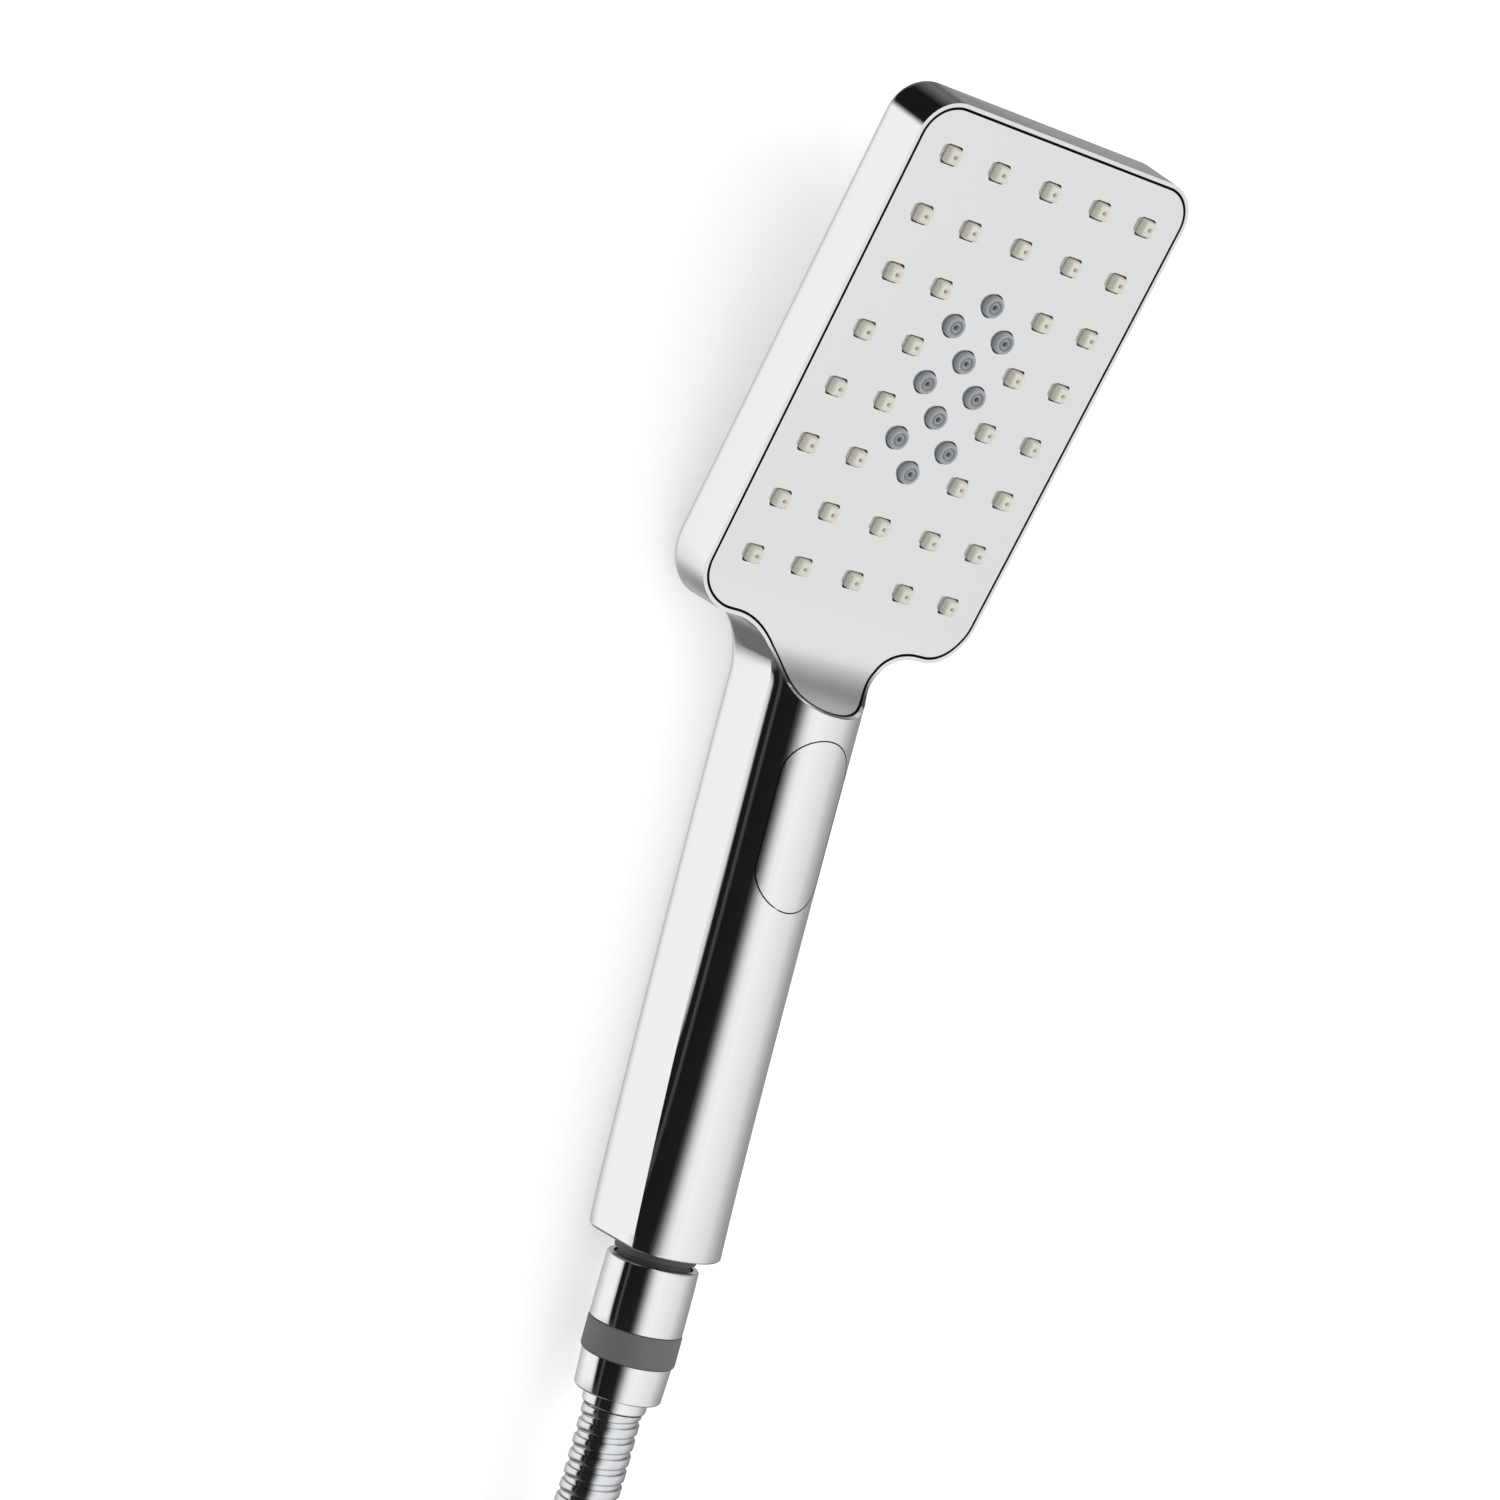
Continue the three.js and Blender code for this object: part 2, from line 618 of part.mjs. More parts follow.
// ---------------------------------------------------------------- hose nut
const NUT = { top: -4.1, ringTop: -21.5, ringEnd: -30.3, end: -40.3 };
piece(
  shower,
  "cone_nut",
  turnedY([
    [10.7, NUT.top], [11.9, NUT.top], [12.3, NUT.top - 0.4], [12.45, -11], [12.5, -17],
    [12.5, NUT.ringTop], [11.4, NUT.ringTop], [11.4, NUT.ringEnd], [12.1, NUT.ringEnd],
    [11.7, NUT.end + 0.4], [11.3, NUT.end], [9, NUT.end], [9, -18.4], [10.7, -18.4],
  ], 28),
  chrome,
);
piece(
  shower,
  "grip_ring",
  turnedY([
    [11.7, NUT.ringEnd + GAP], [12.4, NUT.ringEnd + GAP], [12.7, NUT.ringEnd + 0.6],
    [12.7, NUT.ringTop - 0.6], [12.4, NUT.ringTop - GAP], [11.7, NUT.ringTop - GAP],
  ], 28),
  gripRubber,
);

// The hose's end: a flanged tail, with a sleeve crimped over it.
const FERRULE_END = -44;
const tailProfile = (flange, end) => [
  [3.8, end], [5.2, end], [5.2, flange - 1.9], [10.2, flange - 1.9], [10.2, flange], [3.8, flange],
];
piece(shower, "hose_tail", turnedY(tailProfile(-16.1, -43.6)), brass);
piece(
  shower,
  "hose_ferrule",
  turnedY([[5.5, FERRULE_END], [8.3, FERRULE_END], [8.6, -43.6], [8.6, -18.7], [5.5, -18.7]]),
  chrome,
);

// ---------------------------------------------------------------- hose, 1.5 m
// z is measured from the axis, so the surface the shower lies on is at -HEAD.depth.
const FLOOR = -HEAD.depth;
const HOSE = { radius: 8, lift: 1.7 };
const LOW = FLOOR + HOSE.lift + HOSE.radius; // centre of the lowest turn
const HANK = { x: 28, y: -261, bend: 48, half: 95 }; // middle, fold radius, half a run
const ENTRY = HANK.y + HANK.half;
const RUN = HANK.x - HANK.bend;

const leadOut = [
  [0, FERRULE_END - GAP, 0], [0, -54, 0], [0, -66, -0.1], [-0.6, -78, -1], [-2.6, -91, -3.4],
  [-6, -104, -6.3], [-10.2, -117, -8.5], [-14.4, -130, LOW + 0.1], [-17.8, -143, LOW],
  [-19.6, -155, LOW], [RUN, ENTRY + GAP, LOW],
];
piece(shower, "hose", tube(leadOut, HOSE.radius, 0, 10, 12), hoseSteel);

// Two turns folded on each other.
function makeHank() {
  const { x, y, bend, half } = HANK;
  const z0 = FLOOR + HOSE.lift;
  const z1 = z0 + 4 * HOSE.radius;
  const grown = bend + HOSE.radius;
  const shrunk = bend - HOSE.radius;
  const ring = cut(
    block(grown, half + grown, grown - 0.01, z0, z1, x, y, 7),
    block(shrunk, half + shrunk, shrunk - 0.01, z0 - 1, z1 + 1, x, y, 7),
  );
  const under = LOW + HOSE.radius + GAP;
  return cut(ring, block(20, 45, 1, FLOOR - 5, under, RUN + 6, ENTRY + 45, 1));
}
piece(shower, "hose_hank", makeHank(), hoseSteel);

const TOP = FLOOR + HOSE.lift + 4 * HOSE.radius; // top of the two turns
const NUT_Z = TOP + 14.6; // the supply nut lies on them
const FAR = ENTRY - 12; // where the hose ends in its sleeve
const lastStretch = [
  [HANK.x - 14, ENTRY + 46, TOP + 8.4], [HANK.x - 33, ENTRY + 35, TOP + 9.4],
  [RUN + 2.4, ENTRY + 15, TOP + 12], [RUN, ENTRY, NUT_Z - 0.4], [RUN, FAR + GAP, NUT_Z],
];
piece(shower, "hose_end", tube(lastStretch, HOSE.radius, 0, 7, 12), hoseSteel);

const TIE = 1.5; // how far the tie stands off the hose
function makeTie() {
  const around = (grow) =>
    block(HOSE.radius + grow, 2 * HOSE.radius + grow, grow, -7, 7, 0, 0, 2);
  return cut(around(TIE), around(GAP))
    .rotate([90, 0, 0])
    .translate([RUN, HANK.y, FLOOR + HOSE.lift + 2 * HOSE.radius]);
}
piece(shower, "hank_tie", makeTie(), tiePlastic);

// ---------------------------------------------------------------- the hose's supply end
const supply = new THREE.Group(); // Y against the hose's end, 0 at the sleeve
supply.position.set(RUN, FAR, NUT_Z);
shower.add(supply);
piece(
  supply,
  "supply_ferrule",
  turnedY([[5.5, -22], [8.6, -22], [8.6, 0], [5.5, 0]]),
  chrome,
);
piece(
  supply,
  "supply_tail",
  turnedY([[3.8, -32], [10.2, -32], [10.2, -30.1], [5.2, -30.1], [5.2, -0.4], [3.8, -0.4]]),
  brass,
);
function makeSupplyNut() {
  const hex = new THREE.CylinderGeometry(14, 14, 20, 6).translate(0, -32.6, 0);
  const collar = rod(11.6, -25, -22.4, 24);
  const inside = turnedY([[0, -44], [10.7, -44], [10.7, -29.8], [5.6, -29.8], [5.6, -20], [0, -20]]);
  return cut(join(hex, collar), inside);
}
piece(supply, "supply_nut", makeSupplyNut(), chrome);
piece(
  supply,
  "supply_washer",
  turnedY([[5, -34.6], [10.2, -34.6], [10.2, -32.3], [5, -32.3]]),
  blackRubber,
);

// ---------------------------------------------------------------- place on the surface
// The origin is below the middle of the shower without its hose.
const hosePieces = /^(hose|hose_hank|hose_end|hank_tie|supply_.*)$/;
shower.updateMatrixWorld(true);
const box = new THREE.Box3();
shower.traverse((node) => {
  if (node.isMesh && !hosePieces.test(node.name)) box.expandByObject(node, true);
});
const middle = box.getCenter(new THREE.Vector3());
shower.position.set(-middle.x, -middle.y, -box.min.z);
shower.updateMatrixWorld(true);

export default shower;
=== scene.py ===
import math

import bmesh
import bpy
from mathutils import Matrix, Vector
from mathutils.bvhtree import BVHTree


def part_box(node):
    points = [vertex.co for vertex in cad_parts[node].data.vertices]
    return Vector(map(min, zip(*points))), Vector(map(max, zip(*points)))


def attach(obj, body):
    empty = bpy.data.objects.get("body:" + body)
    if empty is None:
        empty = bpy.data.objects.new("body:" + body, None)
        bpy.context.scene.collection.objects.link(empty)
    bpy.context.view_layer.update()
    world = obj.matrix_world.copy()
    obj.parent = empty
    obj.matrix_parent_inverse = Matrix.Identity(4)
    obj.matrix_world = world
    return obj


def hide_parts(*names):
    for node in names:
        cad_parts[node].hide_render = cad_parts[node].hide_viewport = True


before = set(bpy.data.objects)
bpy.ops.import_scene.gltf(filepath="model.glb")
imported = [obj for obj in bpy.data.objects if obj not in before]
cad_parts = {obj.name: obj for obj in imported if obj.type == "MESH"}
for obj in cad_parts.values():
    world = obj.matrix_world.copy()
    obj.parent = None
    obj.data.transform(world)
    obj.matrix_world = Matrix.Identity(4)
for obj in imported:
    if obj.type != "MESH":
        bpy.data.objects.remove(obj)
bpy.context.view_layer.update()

# ---------------------------------------------------------------- where the shower lies
# The shower lies on the flat back of its handle with the spray face up. Its pieces are
# measured in millimetres from the handle's open end: y along the handle's axis to the
# head, z out of the spray side. at() brings such a point to the surface it lies on.
MM = 0.001
AXIS_HEIGHT = 19.0
handle_end_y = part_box("body_shell")[0].y


def at(x, y, z):
    return Vector((x * MM, handle_end_y + y * MM, (z + AXIS_HEIGHT) * MM))


# ---------------------------------------------------------------- camera
# It looks down on the shower from the left of its handle, rolled so that the handle
# runs to the lower left.
camera = bpy.data.objects.new("camera", bpy.data.cameras.new("camera"))
bpy.context.scene.collection.objects.link(camera)
camera.data.lens = 85.3
camera.data.sensor_width = 36
camera_right = Vector((0.780, 0.2646, 0.5670)).normalized()
camera_forward = Vector((0.5994, -0.0556, -0.7985)).normalized()
camera_up = camera_right.cross(camera_forward)
camera_place = at(-557.1, 181.1, 724.0)
camera.matrix_world = Matrix.Translation(camera_place) @ Matrix(
    (camera_right, camera_up, -camera_forward)
).transposed().to_4x4()
bpy.context.scene.camera = camera

# ---------------------------------------------------------------- hose
# 1.5 m of double-wound shower hose: a chrome-plated strip of brass, wound and folded so
# that each turn hooks into the next. It leaves the nut straight, sinks to the surface,
# and the length that isn't in use is folded in a hank of two turns behind the shower.
HOSE_RADIUS = 8.0
HOSE_PITCH = 4.2  # one wide and one narrow band
HOSE_LENGTH = 1500
LOW_TURN = -9.3  # height of the lowest turn's centre line
STACK = 2 * HOSE_RADIUS  # the second turn lies on the first
HANK_X, HANK_Y, HANK_BEND, HANK_HALF = 28.0, -261.0, 48.0, 95.0
HANK_TOP = HANK_Y + HANK_HALF
RUN_X = HANK_X - HANK_BEND
CROWN = LOW_TURN + 3 * HOSE_RADIUS  # where the second turn ends and the far end rises
SUPPLY_Z = CROWN + 14.6
SUPPLY_Y = HANK_TOP - 12.0


def soften(t):
    t = min(1.0, max(0.0, t))
    return t * t * (3 - 2 * t)


route = [
    (0, -44.3, 0), (0, -49, 0), (0, -54, 0), (0, -66, -0.1), (-0.6, -78, -1), (-2.6, -91, -3.4),
    (-6, -104, -6.3), (-10.2, -117, -8.5), (-14.4, -130, LOW_TURN + 0.1),
    (-17.8, -143, LOW_TURN), (-19.6, -155, LOW_TURN),
]
for turn in range(2):
    height = LOW_TURN + STACK * turn
    for step in range(10):
        route.append((RUN_X, HANK_TOP - 2 * HANK_HALF * step / 10, height))
    for step in range(12):
        angle = math.pi * step / 12
        x = HANK_X - HANK_BEND * math.cos(angle)
        route.append((x, HANK_TOP - 2 * HANK_HALF - HANK_BEND * math.sin(angle), height))
    for step in range(10):
        route.append((HANK_X + HANK_BEND, HANK_TOP + 2 * HANK_HALF * (step / 10 - 1), height))
    for step in range(12 if turn == 0 else 6):
        angle = math.pi * step / 12
        climb = STACK * soften(step / 7.5)
        x = HANK_X + HANK_BEND * math.cos(angle)
        route.append((x, HANK_TOP + HANK_BEND * math.sin(angle), height + climb))
route += [
    (HANK_X, HANK_TOP + HANK_BEND, CROWN + 7.2), (HANK_X - 14, HANK_TOP + 46, CROWN + 8.4),
    (HANK_X - 33, HANK_TOP + 35, CROWN + 9.4), (RUN_X + 2.4, HANK_TOP + 15, CROWN + 12),
    (RUN_X, HANK_TOP, SUPPLY_Z - 0.4), (RUN_X, SUPPLY_Y + 0.3, SUPPLY_Z),
]


def through(points, spacing):
    """A smooth line through the points, cut in equal steps."""
    ends = [2 * points[0] - points[1], *points, 2 * points[-1] - points[-2]]
    fine = []
    for a, b, c, d in zip(ends, ends[1:], ends[2:], ends[3:]):
        ta = 0.0
        tb = ta + math.sqrt((b - a).length)
        tc = tb + math.sqrt((c - b).length)
        td = tc + math.sqrt((d - c).length)
        for step in range(24):
            t = tb + (tc - tb) * step / 24
            ab = a.lerp(b, (t - ta) / (tb - ta))
            bc = b.lerp(c, (t - tb) / (tc - tb))
            cd = c.lerp(d, (t - tc) / (td - tc))
            abc = ab.lerp(bc, (t - ta) / (tc - ta))
            bcd = bc.lerp(cd, (t - tb) / (td - tb))
            fine.append(abc.lerp(bcd, (t - tb) / (tc - tb)))
    fine.append(points[-1])
    even, left = [fine[0]], spacing
    for a, b in zip(fine, fine[1:]):
        while (b - a).length >= left:
            a = a.lerp(b, left / (b - a).length)
            even.append(a)
            left = spacing
        left -= (b - a).length
    return even


centre_line = through([at(*p) for p in route], 2 * MM)
for _ in range(12):  # relaxed, as the hose is stiff
    middle = [(a + b * 2 + c) / 4 for a, b, c in zip(centre_line, centre_line[1:], centre_line[2:])]
    centre_line = [centre_line[0], *middle, centre_line[-1]]


def add_node(tree, kind, settings=None, inputs=None):
    """One node with its settings, and its inputs set or linked."""
    node = tree.nodes.new(kind)
    for name, value in (settings or {}).items():
        setattr(node, name, value)
    for key, value in (inputs or {}).items():
        if isinstance(value, bpy.types.NodeSocket):
            tree.links.new(value, node.inputs[key])
        else:
            node.inputs[key].default_value = value
    return node


def linear(code):
    """An sRGB hex colour as linear red, green, blue and alpha."""
    values = [int(code[i : i + 2], 16) / 255 for i in (1, 3, 5)]
    return [v / 12.92 if v <= 0.04045 else ((v + 0.055) / 1.055) ** 2.4 for v in values] + [1.0]


def new_finish(name, colour, roughness, metallic=0.0, ior=None, more=None):
    """A material with its plain values set on its shader."""
    material = bpy.data.materials.new(name)
    material.use_nodes = True
    shader = material.node_tree.nodes["Principled BSDF"]
    values = {"Base Color": linear(colour), "Roughness": roughness, "Metallic": metallic}
    if ior:
        values["IOR"] = ior
    for key, value in {**values, **(more or {})}.items():
        shader.inputs[key].default_value = value
    return material


def vary(material, pattern, window=(0.0, 1.0), dull=None, tints=None, relief=None,
         stretch=None, kind="ShaderNodeTexNoise", settings=None):
    """A pattern on the material. It spreads its roughness over the range dull, mixes two
    tints, or raises it by a strength and a depth. window is the part of it that spreads."""
    tree = material.node_tree
    shader = tree.nodes["Principled BSDF"]
    place = add_node(tree, "ShaderNodeTexCoord").outputs["Object"]
    if stretch:
        place = add_node(tree, "ShaderNodeMapping", inputs={
            "Vector": place, "Scale": stretch}).outputs["Vector"]
    texture = add_node(tree, kind, settings, {"Vector": place, **pattern})
    if dull:
        spread = add_node(tree, "ShaderNodeMapRange", inputs={
            "Value": texture.outputs["Fac"], "From Min": window[0], "From Max": window[1],
            "To Min": dull[0], "To Max": dull[1]})
        tree.links.new(spread.outputs["Result"], shader.inputs["Roughness"])
    if tints:
        shade = add_node(tree, "ShaderNodeMix", {"data_type": "RGBA"}, {
            "Factor": texture.outputs["Fac"], 6: linear(tints[0]), 7: linear(tints[1])})
        tree.links.new(shade.outputs[2], shader.inputs["Base Color"])
    if relief:
        bump = add_node(tree, "ShaderNodeBump", inputs={
            "Height": texture.outputs["Fac"], "Strength": relief[0], "Distance": relief[1]})
        tree.links.new(bump.outputs["Normal"], shader.inputs["Normal"])


# Chrome on the wound strip is drawn thinner than on the moulded parts, so it is a little
# duller, with faint drawing marks about 0.5 mm apart and soft grey patches where it is handled.
hose_chrome = new_finish("chrome plated brass strip", "#E4E6E8", 0.12, 1.0)
vary(hose_chrome, {"Scale": 60.0, "Detail": 3.0}, (0.35, 0.75), dull=(0.07, 0.17))
vary(hose_chrome, {"Scale": 2000.0, "Detail": 2.0}, relief=(0.04, 0.00005))

# The winding is a strip wound round the line, as the real one is. A grid is wrapped so that
# its rows cross one pitch and its columns go round and round; each row has its own place
# across the pitch and its own radius, which draw a wide flat band, a groove and a narrow
# sunk band. The edges of neighbouring turns meet and are merged.
BAND_PROFILE = [  # place across one pitch, and how far it is sunk, of the groove's depth
    (0.0, 1.0), (0.03, 1.0), (0.06, 0.12), (0.1, 0.0), (0.58, 0.0), (0.62, 0.12), (0.65, 1.0),
    (0.7, 1.0), (0.73, 0.58), (0.93, 0.55), (0.96, 1.0), (1.0, 1.0)]
winding = bpy.data.node_groups.new("wound hose", "GeometryNodeTree")
for name, kind in [
    ("Line", "NodeSocketGeometry"), ("Radius", "NodeSocketFloat"), ("Pitch", "NodeSocketFloat"),
    ("Groove", "NodeSocketFloat"), ("Sides", "NodeSocketInt"), ("Turns", "NodeSocketInt"),
    ("Rows", "NodeSocketInt"), ("Finish", "NodeSocketMaterial"),
]:
    winding.interface.new_socket(name, in_out="INPUT", socket_type=kind)
winding.interface.new_socket("Hose", in_out="OUTPUT", socket_type="NodeSocketGeometry")
given = add_node(winding, "NodeGroupInput")
line = add_node(winding, "GeometryNodeMeshToCurve", inputs={"Mesh": given.outputs["Line"]})
whole = add_node(winding, "GeometryNodeCurveLength", inputs={"Curve": line.outputs["Curve"]})
index = add_node(winding, "GeometryNodeInputIndex")
across = add_node(winding, "ShaderNodeFloatCurve")
sunk = add_node(winding, "ShaderNodeFloatCurve")
for curve_node, pick in ((across, 0), (sunk, 1)):
    curve = curve_node.mapping.curves[0]
    for _ in range(len(BAND_PROFILE) - 2):
        curve.points.new(0.5, 0.5)
    for k, stop in enumerate(BAND_PROFILE):
        curve.points[k].location = (k / (len(BAND_PROFILE) - 1), stop[pick])
        curve.points[k].handle_type = "VECTOR"
    curve_node.mapping.update()

# Sums on each point of the grid. A term is a number, an input of the tree, or a sum above.
# A little past either end the strip is cut square and closes on the line, as a cap.
value = {socket.name: socket for socket in given.outputs}
value.update(
    index=index.outputs[0], whole=whole.outputs[0],
    across=across.outputs["Value"], sunk=sunk.outputs["Value"])
for name, operation, *terms in [
    ("columns", "MULTIPLY_ADD", "Sides", "Turns", 1.0),
    ("mid_index", "ADD", "index", 0.5),
    ("columns_done", "DIVIDE", "mid_index", "Rows"),
    ("column", "FLOOR", "columns_done"),
    ("column_start", "MULTIPLY", "column", "Rows"),
    ("row_left", "SUBTRACT", "index", "column_start"),
    ("row", "ROUND", "row_left"),
    ("last_row", "SUBTRACT", "Rows", 1.0),
    ("row_share", "DIVIDE", "row", "last_row"),
    ("turns_done", "DIVIDE", "column", "Sides"),
    ("rounds", "SUBTRACT", "turns_done", 1.0),
    ("pitches", "ADD", "rounds", "across"),
    ("run", "MULTIPLY", "pitches", "Pitch"),
    ("run_from_start", "MAXIMUM", "run", 0.0),
    ("kept_run", "MINIMUM", "run_from_start", "whole"),
    ("spare", "MULTIPLY", "Pitch", 0.5),
    ("run_and_spare", "ADD", "run", "spare"),
    ("after_start", "GREATER_THAN", "run_and_spare", 0.0),
    ("run_less_spare", "SUBTRACT", "run", "spare"),
    ("before_end", "LESS_THAN", "run_less_spare", "whole"),
    ("inside_ends", "MULTIPLY", "after_start", "before_end"),
    ("depth", "MULTIPLY", "sunk", "Groove"),
    ("height", "SUBTRACT", "Radius", "depth"),
    ("reach", "MULTIPLY", "inside_ends", "height"),
    ("angle", "MULTIPLY", "rounds", 2 * math.pi),
    ("cosine", "COSINE", "angle"),
    ("sine", "SINE", "angle"),
    ("along_normal", "MULTIPLY", "reach", "cosine"),
    ("along_side", "MULTIPLY", "reach", "sine"),
]:
    value[name] = add_node(winding, "ShaderNodeMath", {"operation": operation}, {
        k: value.get(term, term) for k, term in enumerate(terms)}).outputs[0]
for curve_node in (across, sunk):
    winding.links.new(value["row_share"], curve_node.inputs["Value"])

grid = add_node(winding, "GeometryNodeMeshGrid", inputs={
    "Size X": 1.0, "Size Y": 1.0, "Vertices X": value["columns"],
    "Vertices Y": given.outputs["Rows"]})
on_line = add_node(winding, "GeometryNodeSampleCurve", {"mode": "LENGTH"}, {
    "Curves": line.outputs["Curve"], "Length": value["kept_run"]})
sideways = add_node(winding, "ShaderNodeVectorMath", {"operation": "CROSS_PRODUCT"}, {
    0: on_line.outputs["Tangent"], 1: on_line.outputs["Normal"]})
out_normal = add_node(winding, "ShaderNodeVectorMath", {"operation": "SCALE"}, {
    0: on_line.outputs["Normal"], "Scale": value["along_normal"]})
out_side = add_node(winding, "ShaderNodeVectorMath", {"operation": "SCALE"}, {
    0: sideways.outputs[0], "Scale": value["along_side"]})
outward = add_node(winding, "ShaderNodeVectorMath", {"operation": "ADD"}, {
    0: out_normal.outputs[0], 1: out_side.outputs[0]})
place = add_node(winding, "ShaderNodeVectorMath", {"operation": "ADD"}, {
    0: on_line.outputs["Position"], 1: outward.outputs[0]})
wrapped = add_node(winding, "GeometryNodeSetPosition", inputs={
    "Geometry": grid.outputs["Mesh"], "Position": place.outputs[0]})
merged = add_node(winding, "GeometryNodeMergeByDistance", inputs={
    "Geometry": wrapped.outputs["Geometry"], "Distance": 0.000003})
real = add_node(winding, "GeometryNodeRealizeInstances", inputs={
    "Geometry": merged.outputs["Geometry"]})
painted = add_node(winding, "GeometryNodeSetMaterial", inputs={
    "Geometry": real.outputs["Geometry"], "Material": given.outputs["Finish"]})
add_node(winding, "NodeGroupOutput", inputs={"Hose": painted.outputs["Geometry"]})


def applied(piece):
    """piece with its modifiers made part of its mesh."""
    bpy.context.view_layer.update()
    made = bpy.data.meshes.new_from_object(
        piece.evaluated_get(bpy.context.evaluated_depsgraph_get()))
    piece.modifiers.clear()
    old, piece.data = piece.data, made
    bpy.data.meshes.remove(old)
    return piece


def grown(piece, tree, values):
    """piece, made over by a geometry tree with these named inputs, as a plain mesh."""
    modifier = piece.modifiers.new("grow", "NODES")
    modifier.node_group = tree
    for socket in tree.interface.items_tree:
        if socket.in_out == "INPUT" and socket.name in values:
            modifier[socket.identifier] = values[socket.name]
    return applied(piece)


def new_piece(name, points, faces, edges=()):
    mesh = bpy.data.meshes.new(name)
    mesh.from_pydata([tuple(p) for p in points], edges, faces)
    piece = bpy.data.objects.new(name, mesh)
    bpy.context.scene.collection.objects.link(piece)
    return piece


def dressed(piece, material, angle=32):
    """Doubles merged, faces turned out, smooth up to that angle, and given its material."""
    shape = bmesh.new()
    shape.from_mesh(piece.data)
    bmesh.ops.remove_doubles(shape, verts=shape.verts, dist=1e-7)
    bmesh.ops.dissolve_degenerate(shape, edges=shape.edges, dist=1e-7)
    bmesh.ops.recalc_face_normals(shape, faces=shape.faces)
    shape.to_mesh(piece.data)
    shape.free()
    piece.data.shade_smooth()
    piece.data.set_sharp_from_angle(angle=math.radians(angle))
    if material:
        piece.data.materials.clear()
        piece.data.materials.append(material)
    return piece


hose_piece = new_piece(
    "wound_hose", centre_line, [], [(i, i + 1) for i in range(len(centre_line) - 1)])
grown(hose_piece, winding, {
    "Radius": HOSE_RADIUS * MM, "Pitch": HOSE_PITCH * MM, "Groove": 1.0 * MM, "Sides": 22,
    "Turns": round(HOSE_LENGTH / HOSE_PITCH) + 2, "Rows": len(BAND_PROFILE),
    "Finish": hose_chrome})
dressed(hose_piece, hose_chrome, 40)
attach(hose_piece, "shower")
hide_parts("hose", "hose_hank", "hose_end")

# ---------------------------------------------------------------- hose sleeves
# A plain chrome-plated brass sleeve is crimped over each end of the hose, and holds it
# on its flanged tail. Its edges are rolled in, and it is lathe turned before plating.


def filleted(profile, radius, steps=3):
    """A closed profile of (radius, height) pairs with its corners rounded."""
    made = []
    count = len(profile)
    for i in range(count):
        a, b, c = (Vector(profile[(i + k) % count]) for k in (-1, 0, 1))
        reach = min(radius, (a - b).length * 0.45, (c - b).length * 0.45)
        start, end = b + (a - b).normalized() * reach, b + (c - b).normalized() * reach
        if b.x < 1e-6:
            made.append(tuple(b))
            continue
        for k in range(steps + 1):
            t = k / steps
            made.append(tuple(start * (1 - t) ** 2 + b * 2 * t * (1 - t) + end * t * t))
    return made


def turned(name, profile, material, centre=(0, 0, 0), radius=0.25, sides=96):
    """A closed profile turned round the Y axis through centre, smooth but for its edges."""
    ring = filleted(profile, radius) if radius else profile
    points = []
    for k in range(sides):
        c, s = math.cos(2 * math.pi * k / sides), math.sin(2 * math.pi * k / sides)
        for r, height in ring:
            points.append(at(centre[0] + r * c, centre[1] + height, centre[2] + r * s))
    count = len(ring)
    faces = []
    for k in range(sides):
        for i in range(count):
            j, n = (i + 1) % count, (k + 1) % sides
            faces.append((k * count + i, n * count + i, n * count + j, k * count + j))
    piece = new_piece(name, points, faces)
    return dressed(piece, material)


# Bright chrome over nickel on a polished ABS moulding: nearly a mirror, with the faint
# waviness of the moulding under it (orange peel, 3 mm) and a thin film of handling marks.
chrome = new_finish("bright chrome plating", "#F1F2F3", 0.03, 1.0)
vary(chrome, {"Scale": 45.0, "Detail": 5.0, "Roughness": 0.6}, (0.4, 0.75), dull=(0.02, 0.075))
vary(chrome, {"Scale": 330.0, "Detail": 1.0}, relief=(0.05, 0.0001))
hose_sleeve = turned("hose_sleeve", [
    (5.6, -44), (8.2, -44), (8.6, -43.6), (8.6, -18.8), (5.6, -18.8)], chrome)
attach(hose_sleeve, "shower")
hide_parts("hose_ferrule")

supply_centre = (RUN_X, SUPPLY_Y, SUPPLY_Z)
supply_sleeve = turned("supply_sleeve", [
    (5.6, -21.9), (8.6, -21.9), (8.6, -5.2), (8.35, -4.8), (8.35, -4.2), (8.6, -3.8), (8.6, -0.6),
    (8.2, -0.1), (5.6, -0.1)], chrome, supply_centre)
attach(supply_sleeve, "shower")
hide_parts("supply_ferrule")

# ---------------------------------------------------------------- wall nut
# A hexagonal nut of chrome-plated brass, 24 mm across its flats, turns on the hose's
# far end. It is made from hexagonal bar: faced and chamfered at both ends, with a round
# collar behind and a bored mouth with a G1/2 thread.


def carved(piece, operation, *tools):
    """piece with solid tools cut from it, joined to it, or kept in common with it."""
    for tool in tools:
        modifier = piece.modifiers.new("carve", "BOOLEAN")
        modifier.operation = operation
        modifier.solver = "MANIFOLD"
        modifier.object = tool
        applied(piece)
        if len(piece.data.polygons) < 4:
            raise ValueError(f"{piece.name}: nothing is left after {operation} with {tool.name}")
    for tool in tools:
        bpy.data.objects.remove(tool)
    return piece


THREAD_PITCH = 1.814  # of a G1/2 thread


